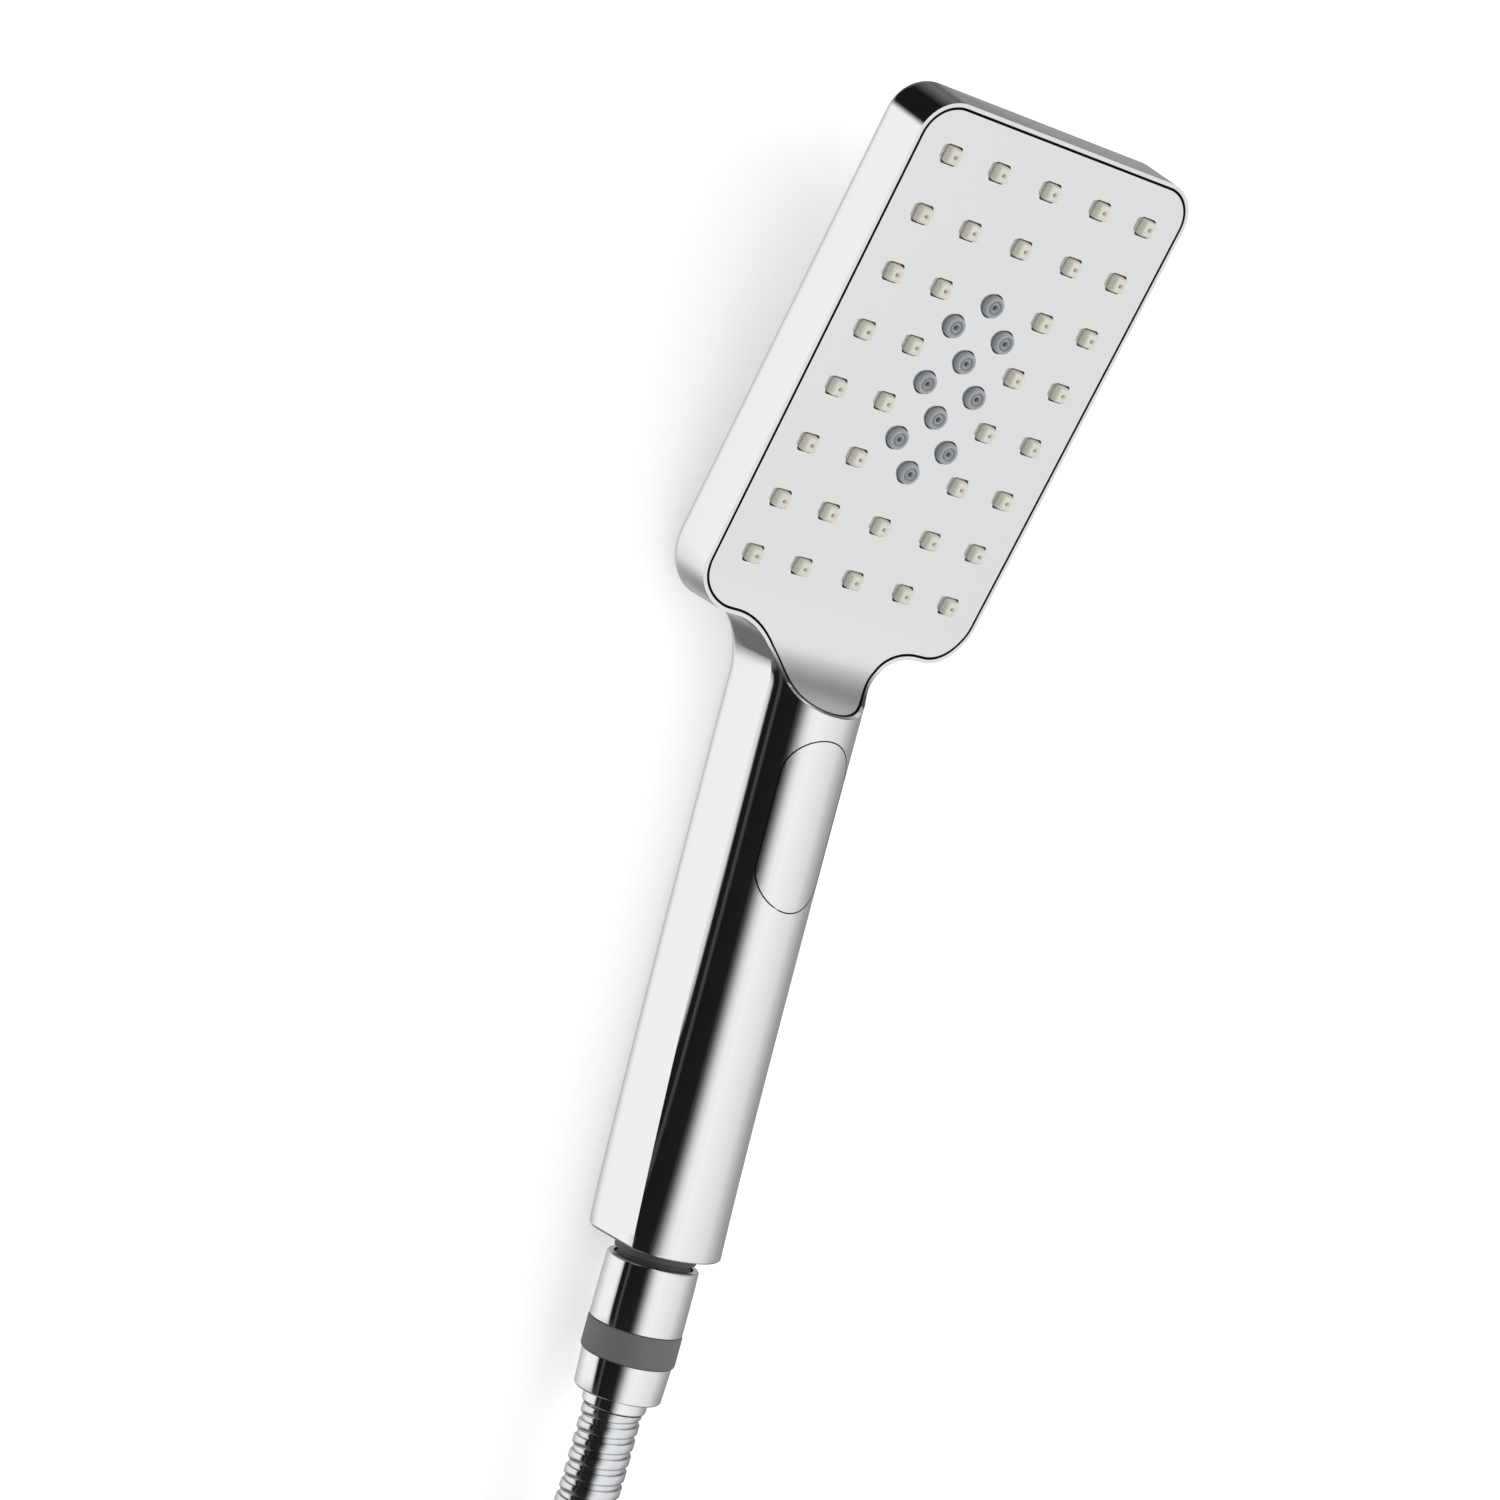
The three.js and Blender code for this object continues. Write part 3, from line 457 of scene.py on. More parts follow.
nut_mouth = -42.6
wall_nut = turned("wall_nut", [
    (0, nut_mouth), (12.6, nut_mouth), (14, nut_mouth + 0.9), (14, -23.6), (12.7, -22.7),
    (11.7, -22.6), (11.6, -22.4), (0, -22.4)], None, supply_centre, radius=0)
hexagon = [
    (14.3 * math.sin(math.pi * k / 3), 14.3 * math.cos(math.pi * k / 3)) for k in range(6)]
hex_bar = new_piece("hex_bar", [
    at(supply_centre[0] + x, supply_centre[1] + y, supply_centre[2] + z)
    for y in (nut_mouth - 1, -22) for x, z in hexagon
], [tuple(range(6)), tuple(range(11, 5, -1))]
    + [(k, (k + 1) % 6, (k + 1) % 6 + 6, k + 6) for k in range(6)])
dressed(hex_bar, None)
bore = [(0, nut_mouth - 1), (11.3, nut_mouth - 1), (11.3, nut_mouth), (10.7, nut_mouth + 0.7)]
for k in range(4):
    y = nut_mouth + 1.2 + THREAD_PITCH * k
    bore += [(10.7, y), (10.25, y + 0.6), (10.25, y + 0.75), (10.7, y + 1.3)]
bore += [(10.7, -29.8), (0, -29.8)]
carved(wall_nut, "INTERSECT", hex_bar)
carved(
    wall_nut, "DIFFERENCE",
    turned("bore", bore, None, supply_centre, radius=0),
    turned("neck_bore", [(0, -30.2), (5.6, -30.2), (5.6, -20), (0, -20)], None, supply_centre,
           radius=0))
dressed(wall_nut, chrome, 25)
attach(wall_nut, "wall_nut")
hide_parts("supply_nut")

# ---------------------------------------------------------------- hank tie
# A strap of soft white polypropylene goes round the two runs of hose once, so it takes
# the shape of two rounds side by side. Its end is welded flat on its own outside.
TIE_WIDTH, TIE_THICK = 12.0, 1.0


def around_hoses(gap):
    """Outline of a strap pulled tight round two hoses that lie on each other."""
    r = HOSE_RADIUS + gap
    outline = []
    for centre, start in ((LOW_TURN + STACK, 0), (LOW_TURN, 180)):
        for k in range(25):
            angle = math.radians(start + 180 * k / 24)
            outline.append((RUN_X + r * math.cos(angle), centre + r * math.sin(angle)))
    return outline


polypropylene = new_finish("white polypropylene strap", "#ECEBE6", 0.45, 0.0, 1.49, {
    "Subsurface Weight": 0.08, "Subsurface Scale": 0.001})
vary(polypropylene, {"Scale": 160.0, "Distortion": 0.4}, relief=(0.3, 0.0002),
     kind="ShaderNodeTexWave", settings={"bands_direction": "Y"})

inner, outer = around_hoses(0.3), around_hoses(0.3 + TIE_THICK)
half = TIE_WIDTH / 2
sections = [
    (inner, -half + 0.25), (inner, half - 0.25), (outer, half - 0.3), (outer, -half + 0.3)]
tie_points = [at(x, HANK_Y + y, z) for outline, y in sections for x, z in outline]
count = len(inner)
tie_faces = [
    (s * count + i, ((s + 1) % 4) * count + i, ((s + 1) % 4) * count + (i + 1) % count,
     s * count + (i + 1) % count)
    for s in range(4) for i in range(count)]
tie = dressed(new_piece("hank_strap", tie_points, tie_faces), polypropylene)
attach(tie, "shower")
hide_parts("hank_tie")

# ---------------------------------------------------------------- hose nut
# A lathe-turned brass nut, chrome plated, with a slight cone that drops into a wall
# holder. Its top edge is chamfered bright, and a groove near its lower end holds the
# grip ring. It turns freely on the flange of the hose's tail.
NUT_TOP, RING_TOP, RING_END, NUT_END = -4.1, -21.5, -30.3, -40.3
hose_nut = turned("hose_nut", [
    (10.7, NUT_TOP), (11.9, NUT_TOP), (12.3, NUT_TOP - 0.4), (12.4, -8), (12.45, -11), (12.5, -17),
    (12.5, RING_TOP), (11.4, RING_TOP), (11.4, RING_END), (12.1, RING_END), (11.7, NUT_END + 0.4),
    (11.3, NUT_END), (9, NUT_END), (9, -18.4), (10.7, -18.4)], chrome, radius=0.15)
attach(hose_nut, "nut")
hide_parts("cone_nut")

# ---------------------------------------------------------------- grip ring
# A band of thermoplastic rubber snapped in the nut's groove, so that a wet hand can
# tighten it. It is moulded in a spark-eroded tool, which leaves a fine dull grain.
soft_rubber = new_finish("grey thermoplastic rubber", "#5F6062", 0.5, 0.0, 1.5)
vary(soft_rubber, {"Scale": 90.0, "Detail": 4.0}, tints=("#5B5C5E", "#67686A"))
vary(soft_rubber, {"Scale": 2600.0, "Detail": 2.0}, relief=(0.35, 0.0001))
ring = turned("soft_grip_ring", [
    (11.6, RING_END + 0.15), (12.4, RING_END + 0.15), (12.7, RING_END + 0.55),
    (12.7, RING_TOP - 0.55), (12.45, RING_TOP - 0.15), (11.6, RING_TOP - 0.15)], soft_rubber,
    radius=0.3)
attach(ring, "nut")
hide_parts("grip_ring")

# ---------------------------------------------------------------- inlet connector
# The threaded end piece of the handle, moulded in dark grey glass-filled ABS. Its dark grey also
# stands in for the shade in the gap between the handle's end and the nut, as painted shade. It
# shows only as a dark collar against the handle's end, with its G1/2 thread going into the nut.
grey_abs_and_gap_shade = new_finish("dark grey ABS moulding and painted gap shade", "#47484B", 0.48, 0.0, 1.52)
vary(grey_abs_and_gap_shade, {"Scale": 2400.0, "Detail": 2.0}, relief=(0.2, 0.0001))
inlet_profile = [(6.5, -13), (9.4, -13)]
for k in range(5):
    y = -12.4 + THREAD_PITCH * k
    inlet_profile += [(9.6, y - 0.2), (10.3, y + 0.3), (10.3, y + 0.55), (9.6, y + 1.1)]
inlet_profile += [
    (9.6, -2.6), (11, -2.6), (11, -0.3), (9, -0.3), (9, 7), (7.1, 7), (7.1, 9.4), (9, 9.4),
    (9, 12.5), (6.5, 12.5)]
inlet = turned("threaded_inlet", inlet_profile, grey_abs_and_gap_shade, radius=0.15)
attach(inlet, "shower")
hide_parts("inlet_connector")

# ---------------------------------------------------------------- body
# One moulding of ABS, chrome plated: a tray with upright sides that narrows through a
# concave flare into the handle. The sides' front edge runs on as a crease along the
# handle, above which its front is rounded. Its back is flat with rounded edges.
TILT = math.radians(18.5)
HEAD_TOP, HEAD_HALF, HEAD_DEPTH = 138.6, 44.6, 19.0
SHOULDER, SHOULDER_X, CORNER = 12.6, 32.0, 10.3
HANDLE_LENGTH, END_HALF, NECK_HALF = 164.8, 14.5, 15.1
END_FRONT, NECK_FRONT, END_CREASE, NECK_CREASE = 16.6, 13.9, 8.7, 2.1
END_ROUND, NECK_ROUND, RIM = 11.0, 5.0, 0.8
FLARE, CHIN, BEND = 15.0, -1.4, 12.0
FLARE_Q, FLARE_X = CHIN - FLARE, NECK_HALF + FLARE
SHOULDER_Q, CORNER_X, CORNER_Q = CHIN + SHOULDER, HEAD_HALF - CORNER, HEAD_TOP - CORNER
BEND_RADIUS = BEND / math.tan(TILT / 2)
WALL, LIP, LEDGE, PLATE_THICK, PLATE_INSET = 2.6, 1.0, 2.7, 2.4, 1.7


def mix(a, b, t):
    return a + (b - a) * t


def up_face(x, v, w):
    """A point of the head: x across, v up the face from the neck, w out of the face."""
    c, s = math.cos(TILT), math.sin(TILT)
    return at(x, HANDLE_LENGTH + v * c - w * s, v * s + w * c)


def bent(x, q, h):
    """A point beside the spine, which runs along the handle and bends into the head."""
    if q <= -BEND:
        return at(x, HANDLE_LENGTH + q, h)
    if q >= BEND:
        return up_face(x, q, h)
    turn = TILT * (q + BEND) / (2 * BEND)
    reach = BEND_RADIUS - h
    y = HANDLE_LENGTH - BEND + reach * math.sin(turn)
    return at(x, y, BEND_RADIUS - reach * math.cos(turn))


def along(q):
    """0 at the handle's open end and 1 in the head, eased where it levels out."""
    t = (q + HANDLE_LENGTH) / (HANDLE_LENGTH - 20)
    if t < 0.8:
        return max(t, 0.0)
    return 1.0 if t > 1.2 else 1 - (1.2 - t) ** 2 / 0.8


def half_width(q):
    return mix(END_HALF, NECK_HALF, along(q))


def depth_inside(x, q):
    """How far a point of the plan lies inside the outline."""
    side = abs(x)
    if q <= FLARE_Q:
        return half_width(q) - side
    near = [HEAD_TOP - q, HEAD_HALF - side]
    if side <= FLARE_X and q < SHOULDER_Q:
        near.append(math.hypot(side - FLARE_X, q - FLARE_Q) - FLARE)
    if FLARE_X < side <= SHOULDER_X:
        near.append(q - FLARE_Q - FLARE)
    if side > SHOULDER_X and q < SHOULDER_Q:
        near.append(SHOULDER - math.hypot(side - SHOULDER_X, q - SHOULDER_Q))
    if side > CORNER_X and q > CORNER_Q:
        near.append(CORNER - math.hypot(side - CORNER_X, q - CORNER_Q))
    return min(near)


def stations(inset):
    """Places along the spine: q, half width, and how much the rim rounds it there."""
    rows = []
    start = -HANDLE_LENGTH + inset
    for k in range(9):
        turn = math.radians(90 * k / 8)
        q = start + RIM * (1 - math.cos(turn))
        rows.append((q, half_width(q) - inset, RIM * (1 - math.sin(turn))))
    for k in range(1, 60):
        q = mix(start + RIM, FLARE_Q, k / 60)
        rows.append((q, half_width(q) - inset, 0.0))
    for k in range(21):
        turn = math.radians(90 * k / 20)
        r = FLARE + inset
        rows.append((FLARE_Q + r * math.sin(turn), FLARE_X - r * math.cos(turn), 0.0))
    for k in range(19):
        turn = math.radians(90 * k / 18)
        r = SHOULDER - inset
        q = SHOULDER_Q - r * math.cos(turn) + (0.0 if k else 0.02)
        rows.append((q, SHOULDER_X + r * math.sin(turn), 0.0))
    for k in range(1, 16):
        rows.append((mix(SHOULDER_Q, CORNER_Q, k / 16), HEAD_HALF - inset, 0.0))
    for k in range(19):
        turn = math.radians(90 * k / 18)
        r = CORNER - inset
        rows.append((CORNER_Q + r * math.sin(turn), CORNER_X + r * math.cos(turn), 0.0))
    return rows


def body_section(q, half, rim, inset):
    t = along(q)
    a = half - rim
    shrink = inset + rim
    bottom = HEAD_DEPTH - shrink
    crease = mix(NECK_CREASE, END_CREASE, (1 - t) ** 2)
    front = mix(END_FRONT, NECK_FRONT, t) - shrink
    rounding = max(mix(END_ROUND, NECK_ROUND, math.sqrt(t)) - shrink, 0.6)
    rise = front - crease
    radius = (a * a + rise * rise) / (2 * rise)
    width = math.asin(min(1.0, min(NECK_HALF, a) / radius))
    points = []
    for i in range(45):
        turn = mix(width, -width, i / 44)
        x = a * math.sin(turn) / math.sin(width)
        points.append((x, crease + rise * (1 - (1 - math.cos(turn)) / (1 - math.cos(width)))))

    def floor_at(x):
        inside = min(max(depth_inside(x, q) - shrink, 0.0), rounding)
        return -bottom + rounding - math.sqrt(rounding**2 - (rounding - inside) ** 2)

    side = [a - min(rounding, 0.9 * a) * (1 - math.cos(math.radians(90 * k / 12)))
            for k in range(13)]
    side += [side[-1] * 0.55]
    points += [(-x, floor_at(x)) for x in side]
    points += [(x, floor_at(x)) for x in reversed(side)]
    return [bent(x, q, h) for x, h in points]


def body_form(name, inset):
    """The body's outer form, moved inwards by inset, as one closed skin."""
    rows = [body_section(*row, inset) for row in stations(inset)]
    count = len(rows[0])
    points = [p for row in rows for p in row]
    faces = []
    for s in range(len(rows) - 1):
        for i in range(count):
            a, b = s * count + i, s * count + (i + 1) % count
            faces.append((a, b, b + count, a + count))
    for s, flip in ((0, True), (len(rows) - 1, False)):
        hub = len(points)
        points.append(sum(rows[s], Vector()) / count)
        for i in range(count):
            a, b = s * count + i, s * count + (i + 1) % count
            faces.append((hub, b, a) if flip else (hub, a, b))
    return dressed(new_piece(name, points, faces), None)


def prism(name, outline, place, low, high):
    """An outline of (u, v) pairs pushed through from low to high; place gives each point."""
    count = len(outline)
    points = [place(u, v, t) for t in (low, high) for u, v in outline]
    faces = [tuple(range(count)), tuple(range(2 * count - 1, count - 1, -1))]
    faces += [(i, (i + 1) % count, (i + 1) % count + count, i + count) for i in range(count)]
    return dressed(new_piece(name, points, faces), None)


COVE_START, COVE_RADIUS, COVE_SWEEP = 7.35, 22.3, 83


def front_of_face(name, sunk):
    """Everything in front of the spray face and its cove, or of a surface below them."""
    radius = COVE_RADIUS + sunk
    outline = [(HEAD_TOP + 20, -sunk)]
    for k in range(49):
        turn = math.radians(COVE_SWEEP * k / 48)
        outline.append((
            COVE_START - radius * math.sin(turn), COVE_RADIUS - radius * math.cos(turn)))
    outline += [(outline[-1][0], 60.0), (HEAD_TOP + 20, 60.0)]
    return prism(name, outline, lambda v, w, x: up_face(x, v, w), -60, 60)


def round_rectangle(half_x, half_y, corner, steps):
    outline = []
    for k in range(4):
        sx, sy = ((1, 1), (-1, 1), (-1, -1), (1, -1))[k]
        for i in range(steps + 1):
            turn = math.radians(90 * k + 90 * i / steps)
            outline.append((
                sx * (half_x - corner) + corner * math.cos(turn),
                sy * (half_y - corner) + corner * math.sin(turn)))
    return outline


BUTTON_MIDDLE, BUTTON_HALF, BUTTON_LENGTH, BUTTON_SLIT = -49.1, 10.0, 44.7, 0.35


def pill(name, grow, low, high):
    outline = round_rectangle(
        BUTTON_HALF + grow, BUTTON_LENGTH / 2 + grow, BUTTON_HALF + grow - 0.01, 24)
    return prism(
        name, outline, lambda x, y, z: at(x, HANDLE_LENGTH + BUTTON_MIDDLE + y, z), low, high)


def edged(piece, material, width=0.22, angle=38):
    """Sharp edges get a small round, as moulded and plated edges have."""
    dressed(piece, material, angle)
    bevel = piece.modifiers.new("edges", "BEVEL")
    bevel.width = width * MM
    bevel.segments = 2
    bevel.limit_method = "ANGLE"
    bevel.angle_limit = math.radians(angle)
    bevel.harden_normals = False
    bevel.use_clamp_overlap = True
    return applied(piece)


def sharpen_crease(piece):
    """Keeps the crease between the handle's front and sides as a sharp line."""
    mesh = piece.data

    def on_crease(point):
        q = (point.y - handle_end_y) / MM - HANDLE_LENGTH
        if not -HANDLE_LENGTH + RIM + 0.2 < q < -8:
            return False
        crease = mix(NECK_CREASE, END_CREASE, (1 - along(q)) ** 2)
        return abs(point.z / MM - AXIS_HEIGHT - crease) < 0.06 and abs(point.x / MM) > 13.5

    marked = {v.index for v in mesh.vertices if on_crease(v.co)}
    sharp = mesh.attributes.get("sharp_edge")
    sharp = sharp or mesh.attributes.new("sharp_edge", "BOOLEAN", "EDGE")
    for edge in mesh.edges:
        if edge.vertices[0] in marked and edge.vertices[1] in marked:
            sharp.data[edge.index].value = True


# The walls of the narrow gaps round the face and the button are given a dull dark grey: painted
# shade where the gap lies in shadow, so each gap reads as a fine dark line.
painted_gap_shade = new_finish("dark grey painted shade in gaps", "#242527", 0.5, 0.0, 1.52)
vary(painted_gap_shade, {"Scale": 400.0, "Detail": 3.0}, dull=(0.4, 0.6))


def walls_of(piece):
    """The surface of piece, to find later which faces were cut along it."""
    return BVHTree.FromPolygons(
        [v.co for v in piece.data.vertices], [tuple(p.vertices) for p in piece.data.polygons])


def shade_gap_walls(piece, *walls):
    """Faces of piece that lie on one of these surfaces get the dark grey of painted shade."""
    piece.data.materials.append(painted_gap_shade)
    for face in piece.data.polygons:
        if any(wall.find_nearest(face.center, 0.03 * MM)[0] is not None for wall in walls):
            face.material_index = 1


body = body_form("plated_body", 0.0)
pocket = carved(body_form("pocket", LIP), "INTERSECT", front_of_face("pocket_top", LEDGE))
button_slot = pill("slot", BUTTON_SLIT, 4, 24)
shaded_gap_surfaces = [walls_of(pocket), walls_of(button_slot)]
carved(
    body, "DIFFERENCE", front_of_face("face", 0.0), pocket, body_form("hollow", WALL),
    button_slot,
    turned("inlet_hole", [(0, -5), (9.3, -5), (9.3, 6), (0, 6)], None, radius=0, sides=64))
edged(body, chrome)
# Faces cut along the pocket and the button slot get the dark grey of painted shade.
shade_gap_walls(body, *shaded_gap_surfaces)
sharpen_crease(body)
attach(body, "shower")
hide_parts("body_shell")

# ---------------------------------------------------------------- spray face
# A second plated ABS moulding dropped into the tray: flat, with a hole for each nozzle,
# and a tongue that sweeps up in a cove to meet the handle's front. A shadow gap of
# 0.7 mm runs all round it.
ROW = 15.8
INNER_COLUMN, OUTER_COLUMN = 1.072 * ROW, 2.064 * ROW


def row_at(row):
    return (7.965 - row) * ROW


rain_places = [
    (x, row_at(row))
    for row in range(8)
    for x in (-OUTER_COLUMN, -INNER_COLUMN, 0, INNER_COLUMN, OUTER_COLUMN)
    if x or row in (0, 1, 6, 7)]
jet_places = [(0, row_at(row)) for row in (2, 3, 4, 5)]
jet_places += [(side * 0.52 * ROW, row_at(row)) for row in (2.5, 3.5, 4.5) for side in (-1, 1)]

# One shape is set on every point, turned as the face is, and made real.
repeated = bpy.data.node_groups.new("one shape on every point", "GeometryNodeTree")
for name, kind in [
    ("Points", "NodeSocketGeometry"), ("Shape", "NodeSocketObject"),
    ("Turn", "NodeSocketVector"), ("Finish", "NodeSocketMaterial"),
]:
    repeated.interface.new_socket(name, in_out="INPUT", socket_type=kind)
repeated.interface.new_socket("Shapes", in_out="OUTPUT", socket_type="NodeSocketGeometry")
given = add_node(repeated, "NodeGroupInput")
shape = add_node(repeated, "GeometryNodeObjectInfo", inputs={"Object": given.outputs["Shape"]})
copies = add_node(repeated, "GeometryNodeInstanceOnPoints", inputs={
    "Points": given.outputs["Points"], "Instance": shape.outputs["Geometry"],
    "Rotation": given.outputs["Turn"]})
real = add_node(repeated, "GeometryNodeRealizeInstances", inputs={
    "Geometry": copies.outputs["Instances"]})
painted = add_node(repeated, "GeometryNodeSetMaterial", inputs={
    "Geometry": real.outputs["Geometry"], "Material": given.outputs["Finish"]})
add_node(repeated, "NodeGroupOutput", inputs={"Shapes": painted.outputs["Geometry"]})


def on_face(name, places, shape, finish):
    """shape, made round its own origin, on each of these places of the face."""
    piece = new_piece(name, [up_face(x, v, 0) for x, v in places], [])
    grown(piece, repeated, {"Shape": shape, "Turn": (TILT, 0.0, 0.0), "Finish": finish})
    bpy.data.objects.remove(shape)
    return piece


def straight_cutter(name, outline, low, high):
    return prism(name, outline, lambda x, y, z: Vector((x, y, z)) * MM, low, high)


# The cove's plating is drawn softer than the rest, which blurs the nozzles mirrored in it.
face_chrome = chrome.copy()
tree = face_chrome.node_tree
shader = tree.nodes["Principled BSDF"]
haze = shader.inputs["Roughness"].links[0].from_socket
place = add_node(tree, "ShaderNodeTexCoord")
up_handle = add_node(tree, "ShaderNodeSeparateXYZ", inputs={"Vector": place.outputs["Object"]})
in_cove = add_node(tree, "ShaderNodeMapRange", {"interpolation_type": "SMOOTHSTEP"}, {
    "Value": up_handle.outputs["Y"], "From Min": at(0, HANDLE_LENGTH + 2, 0).y,
    "From Max": at(0, HANDLE_LENGTH - 12, 0).y, "To Max": 0.3})
softer = add_node(tree, "ShaderNodeMath", {"operation": "ADD"}, {
    0: haze, 1: in_cove.outputs["Result"]})
tree.links.new(softer.outputs[0], shader.inputs["Roughness"])

plate = body_form("spray_face", PLATE_INSET)
plate_sides = walls_of(plate)
carved(plate, "INTERSECT", front_of_face("plate_back", PLATE_THICK))
carved(plate, "DIFFERENCE", front_of_face("plate_front", 0.0))
square_hole = round_rectangle(2.55, 2.55, 0.85, 5)
round_hole = [(3.25 * math.cos(math.pi * k / 20), 3.25 * math.sin(math.pi * k / 20))
              for k in range(40)]
carved(
    plate, "DIFFERENCE",
    on_face("square_holes", rain_places, straight_cutter("hole", square_hole, -4, 2), chrome),
    on_face("round_holes", jet_places, straight_cutter("hole", round_hole, -4, 2), chrome))
edged(plate, face_chrome, 0.3)
# Faces cut along the plate's sides get the dark grey of painted shade.
shade_gap_walls(plate, plate_sides)
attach(plate, "shower")
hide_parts("face_plate")

# ---------------------------------------------------------------- rain nozzles
# One mat of cream silicone behind the face, with a soft square nipple through each
# hole, so that scale can be rubbed off. Each has one fine orifice in a shallow dimple.
cream_silicone = new_finish("cream silicone rubber", "#D8D5CB", 0.45, 0.0, 1.41)
vary(cream_silicone, {"Scale": 220.0, "Detail": 3.0}, tints=("#D2CFC4", "#DFDCD3"))
vary(cream_silicone, {"Scale": 1800.0, "Detail": 2.0}, relief=(0.08, 0.00005))


def stacked(name, rings):
    """A skin over rings of points round their own origin, closed at both ends."""
    count = len(rings[0])
    points = [Vector(p) * MM for ring_points in rings for p in ring_points]
    faces = [
        (s * count + i, s * count + (i + 1) % count, (s + 1) * count + (i + 1) % count,
         (s + 1) * count + i)
        for s in range(len(rings) - 1) for i in range(count)]
    faces.append(tuple(range(count - 1, -1, -1)))
    faces.append(tuple(range((len(rings) - 1) * count, len(rings) * count)))
    return dressed(new_piece(name, points, faces), None, 50)


def squarish(half, corner, z):
    return [(x, y, z) for x, y in round_rectangle(half, half, corner, 4)]


def disc(radius, z, count=20):
    return [(radius * math.cos(2 * math.pi * k / count + math.pi / 4),
             radius * math.sin(2 * math.pi * k / count + math.pi / 4), z) for k in range(count)]


def mat_sheet(name, half_x, half_y, corner, middle):
    outline = round_rectangle(half_x, half_y, corner, 8)
    return prism(name, outline, lambda x, v, w: up_face(x, middle + v, w), -3.7, -2.7)


nipple = stacked("nipple", [
    squarish(2.2, 0.8, -3.2), squarish(2.1, 0.8, 0.0), squarish(1.98, 0.75, 1.45),
    squarish(1.9, 0.75, 1.85), squarish(1.68, 0.7, 2.12), squarish(1.2, 0.5, 2.2),
    disc(0.75, 2.16), disc(0.52, 1.98), disc(0.42, 1.2), disc(0.3, 0.6)])
JET_MIDDLE = row_at(3.5)
rain_mat = mat_sheet("rain_nozzles", 38.5, 63.5, 6, 70)
carved(rain_mat, "DIFFERENCE", prism(
    "jet_window", round_rectangle(13.2, 33.2, 2, 6),
    lambda x, v, w: up_face(x, JET_MIDDLE + v, w), -5, 0))
carved(rain_mat, "UNION", on_face("nipples", rain_places, nipple, cream_silicone))
dressed(rain_mat, cream_silicone, 55)
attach(rain_mat, "shower")
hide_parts("rain_nozzle_mat")

# ---------------------------------------------------------------- jet nozzles
# A smaller mat of firmer grey silicone in the middle, with ten round nozzles: an outer
# ring, a groove, and an inner ring round a wide orifice, which throws a solid jet.
grey_silicone = new_finish("grey silicone rubber", "#9FA3A8", 0.42, 0.0, 1.41)
vary(grey_silicone, {"Scale": 260.0, "Detail": 3.0}, tints=("#989CA1", "#A6AAAF"))
vary(grey_silicone, {"Scale": 1800.0, "Detail": 2.0}, relief=(0.08, 0.00005))
jet_nozzle = stacked("jet_nozzle", [
    disc(2.85, -3.2, 28), disc(2.85, 1.0, 28), disc(2.75, 1.3, 28), disc(2.52, 1.52, 28),
    disc(2.25, 1.6, 28), disc(1.95, 1.5, 28), disc(1.85, 1.15, 28), disc(1.6, 0.95, 28),
    disc(1.4, 1.05, 28), disc(1.3, 1.4, 28), disc(1.05, 1.55, 28), disc(0.85, 1.45, 28),
    disc(0.7, 1.15, 28), disc(0.62, 0.6, 28), disc(0.6, -2.6, 28)])
jet_mat = mat_sheet("jet_nozzles", 12.9, 32.9, 2, JET_MIDDLE)
carved(jet_mat, "UNION", on_face("jets", jet_places, jet_nozzle, grey_silicone))
dressed(jet_mat, grey_silicone, 55)
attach(jet_mat, "shower")
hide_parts("jet_nozzle_mat")

# ---------------------------------------------------------------- thumb button
# A plated ABS pill that carries on the handle's own curve, in a slot with a gap of
# 0.35 mm. A ledge behind the handle's wall keeps it in, and it sinks 2.5 mm.
BUTTON_THICK = 4.1


def front_layer(name, low, high):
    layer = body_form(name, low)
    return carved(layer, "DIFFERENCE", body_form("layer_back", high))


cap = pill("cap", 0, 4, 24)
cap_sides = walls_of(cap)
button = carved(front_layer("pill_button", 0.0, BUTTON_THICK), "INTERSECT", cap)
ledge = carved(
    front_layer("ledge", WALL + 0.3, BUTTON_THICK), "INTERSECT", pill("ledge_cut", 1.3, 5, 24))
carved(button, "UNION", ledge)
edged(button, chrome, 0.3)
# The button's sides get the dark grey of painted shade.
shade_gap_walls(button, cap_sides)
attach(button, "button")
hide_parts("thumb_button")

# ---------------------------------------------------------------- water parts inside
# The waterways, chambers and selector are moulded in white acetal, a slippery plastic
# that takes water well. It is slightly clear at its edges, with a satin moulded skin.


def finish_nodes(material, *names):
    """Gives its material to each part that shows as the frame has it."""
    for name in names:
        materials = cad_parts[name].data.materials
        materials.clear()
        materials.append(material)


acetal = new_finish("white acetal moulding", "#EAEAE6", 0.38, 0.0, 1.48, {
    "Subsurface Weight": 0.1, "Subsurface Scale": 0.001})
vary(acetal, {"Scale": 70.0, "Detail": 4.0}, dull=(0.3, 0.48))
finish_nodes(
    acetal, "spray_carrier", "selector_housing", "selector_plunger", "port_disc",
    "waterway_tube", "jet_duct", "rain_duct")

# The distributor, the selector's cover and cam, and the flow regulator are in the same
# grey ABS as the inlet.
finish_nodes(grey_abs_and_gap_shade, "distributor", "selector_bonnet", "selector_rotor", "flow_regulator")

# Seals are moulded in black EPDM rubber, dull with a faint grey bloom.
epdm = new_finish("black EPDM rubber", "#1F1F21", 0.7, 0.0, 1.5)
vary(epdm, {"Scale": 300.0, "Detail": 4.0}, tints=("#19191B", "#2B2B2D"))
finish_nodes(
    epdm, "chamber_seal", "bonnet_o_ring", "connector_o_ring", "filter_washer", "supply_washer")

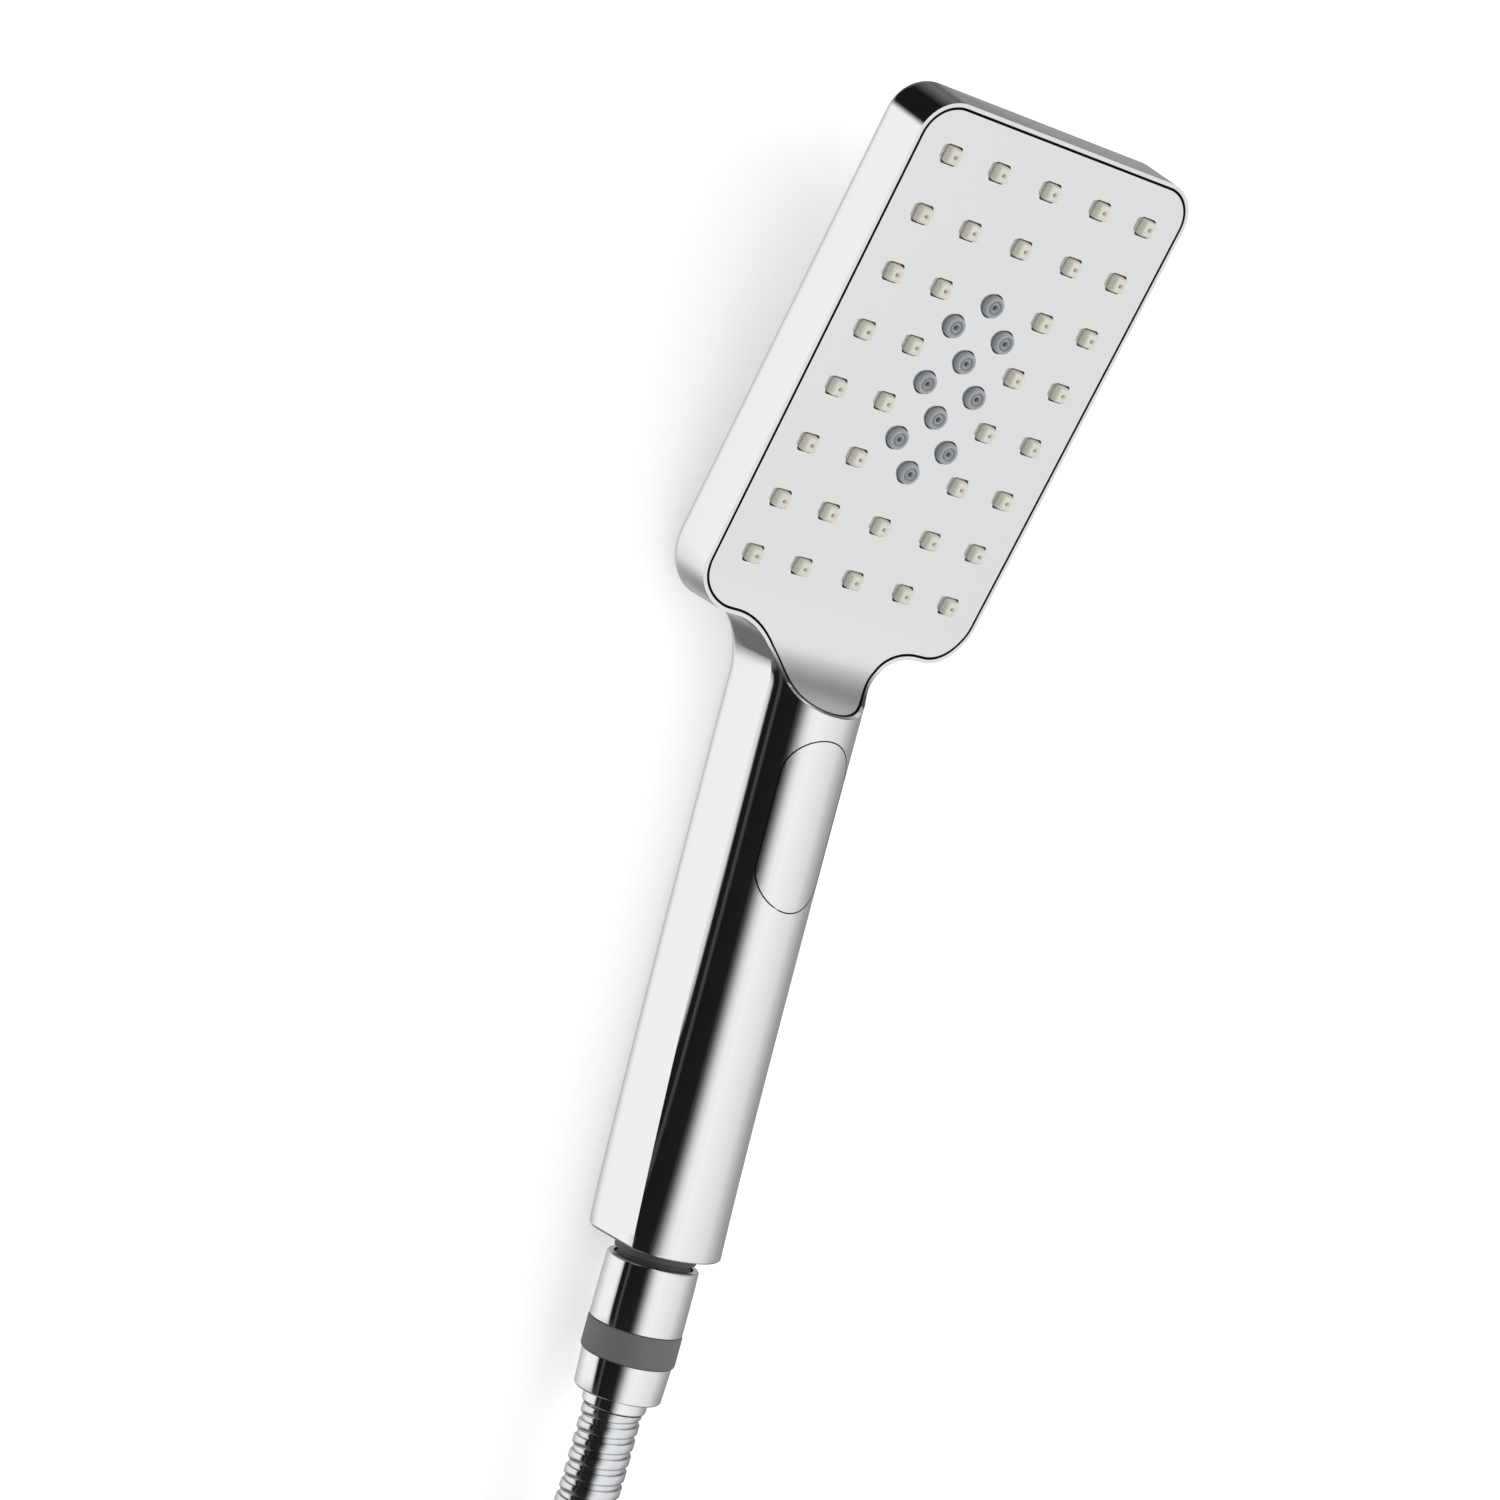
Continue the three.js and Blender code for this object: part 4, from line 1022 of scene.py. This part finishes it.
# Screws and spring are stainless steel: bright drawn wire and rolled thread, with fine
# scratches 0.2 mm apart.
stainless = new_finish("stainless steel", "#B9BCBE", 0.28, 1.0)
vary(stainless, {"Scale": 5000.0, "Detail": 2.0}, dull=(0.2, 0.38))
finish_nodes(stainless, "button_spring", *(f"head_screw_{k}" for k in range(1, 7)))

# The two flanged tails of the hose are brass, turned from bar, which leaves fine rings
# round their axis.
brass = new_finish("machined brass", "#C9A45E", 0.24, 1.0)
vary(brass, {"Scale": 1.0, "Detail": 2.0}, dull=(0.16, 0.36), relief=(0.1, 0.00005),
     stretch=(120.0, 9000.0, 120.0))
finish_nodes(brass, "hose_tail", "supply_tail")

# ---------------------------------------------------------------- floor and light
# A plain pale floor, and a soft studio round it for the plating to mirror: white above,
# grey to the right, and a long dark screen to the left. The floor is lit a little from
# below, as a light table is, which thins the shadows.
floor_half = 6.0
floor = new_piece("floor", [
    (-floor_half, -floor_half, 0), (floor_half, -floor_half, 0),
    (floor_half, floor_half, 0), (-floor_half, floor_half, 0)], [(0, 1, 2, 3)])
floor.data.materials.append(new_finish("pale matt floor", "#F6F6F5", 0.9, more={
    "Emission Color": (1, 1, 1, 1), "Emission Strength": 0.42}))
floor.visible_glossy = False

world = bpy.data.worlds.new("studio")
world.use_nodes = True
tree = world.node_tree
tree.nodes.clear()
way = add_node(tree, "ShaderNodeTexCoord")
parts = add_node(tree, "ShaderNodeSeparateXYZ", inputs={"Vector": way.outputs["Generated"]})
minus_x = add_node(tree, "ShaderNodeMath", {"operation": "MULTIPLY"}, {
    0: parts.outputs["X"], 1: -1.0})
round_handle = add_node(tree, "ShaderNodeMath", {"operation": "ARCTAN2"}, {
    0: minus_x.outputs[0], 1: parts.outputs["Z"]})
studio = add_node(tree, "ShaderNodeMapRange", inputs={
    "Value": round_handle.outputs[0], "From Min": -math.pi, "From Max": math.pi})
levels = add_node(tree, "ShaderNodeValToRGB", inputs={"Fac": studio.outputs["Result"]})
# Brightness by angle round the handle, in degrees: 0 is up, 90 left and -90 right.
ramp = levels.color_ramp
ramp.elements[0].position, ramp.elements[0].color = 0.0, (0.62, 0.62, 0.62, 1)
ramp.elements[1].position, ramp.elements[1].color = 1.0, (0.62, 0.62, 0.62, 1)
for degrees, level in [
    (-150, 0.42), (-120, 0.30), (-95, 0.38), (-75, 0.56), (-55, 0.78), (-35, 0.86), (0, 0.97),
    (14, 0.92), (24, 0.68), (33, 0.30), (41, 0.07), (48, 0.012), (84, 0.01), (88, 0.06),
    (91, 0.06), (94, 0.01), (104, 0.012), (109, 0.7), (116, 0.97), (146, 0.97),
]:
    stop = ramp.elements.new((degrees + 180) / 360)
    stop.color = (level, level, level, 1)

# Screens stand in front of it, each where both of its fades meet: a dark one low beyond
# the head, less dark to the right; a grey one low towards the hose; and a dark one high
# beyond the head, to the right, for the cove to mirror.
rightwards = add_node(tree, "ShaderNodeMapRange", inputs={
    "Value": parts.outputs["X"], "From Min": -0.1, "From Max": 0.75, "To Min": 0.01,
    "To Max": 0.3})
seen = levels.outputs["Color"]
for fades, screen in [
    ([("Y", 0.24, 0.44), ("Z", 0.35, -0.1)], rightwards.outputs["Result"]),
    ([("Y", -0.28, -0.52), ("Z", 0.1, -0.3)], (0.16, 0.16, 0.16, 1)),
    ([("Y", 0.36, 0.8), ("X", 0.3, 0.5)], (0.08, 0.08, 0.08, 1)),
]:
    one, other = [
        add_node(tree, "ShaderNodeMapRange", {"interpolation_type": "SMOOTHSTEP"}, {
            "Value": parts.outputs[side], "From Min": start, "From Max": end})
        for side, start, end in fades]
    part = add_node(tree, "ShaderNodeMath", {"operation": "MULTIPLY"}, {
        0: one.outputs["Result"], 1: other.outputs["Result"]})
    seen = add_node(tree, "ShaderNodeMix", {"data_type": "RGBA"}, {
        "Factor": part.outputs[0], 6: seen, 7: screen}).outputs[2]
light_path = add_node(tree, "ShaderNodeLightPath")
mirrored = add_node(tree, "ShaderNodeBackground", inputs={"Color": seen})
even = add_node(tree, "ShaderNodeBackground", inputs={"Color": (1, 1, 1, 1), "Strength": 0.8})
chosen = add_node(tree, "ShaderNodeMixShader", inputs={
    0: light_path.outputs["Is Glossy Ray"], 1: even.outputs[0], 2: mirrored.outputs[0]})
add_node(tree, "ShaderNodeOutputWorld", inputs={"Surface": chosen.outputs[0]})
bpy.context.scene.world = world

key = bpy.data.objects.new("key", bpy.data.lights.new("key", "AREA"))
key.data.shape = "DISK"
key.data.size = 0.7
key.data.energy = 5
key_place = Vector((0.85, 0.3, 0.85))
key_turn = key_place.to_track_quat("Z", "Y").to_matrix().to_4x4()
key.matrix_world = Matrix.Translation(key_place) @ key_turn
key.visible_glossy = False
bpy.context.scene.collection.objects.link(key)
bpy.context.scene.view_settings.view_transform = "Standard"
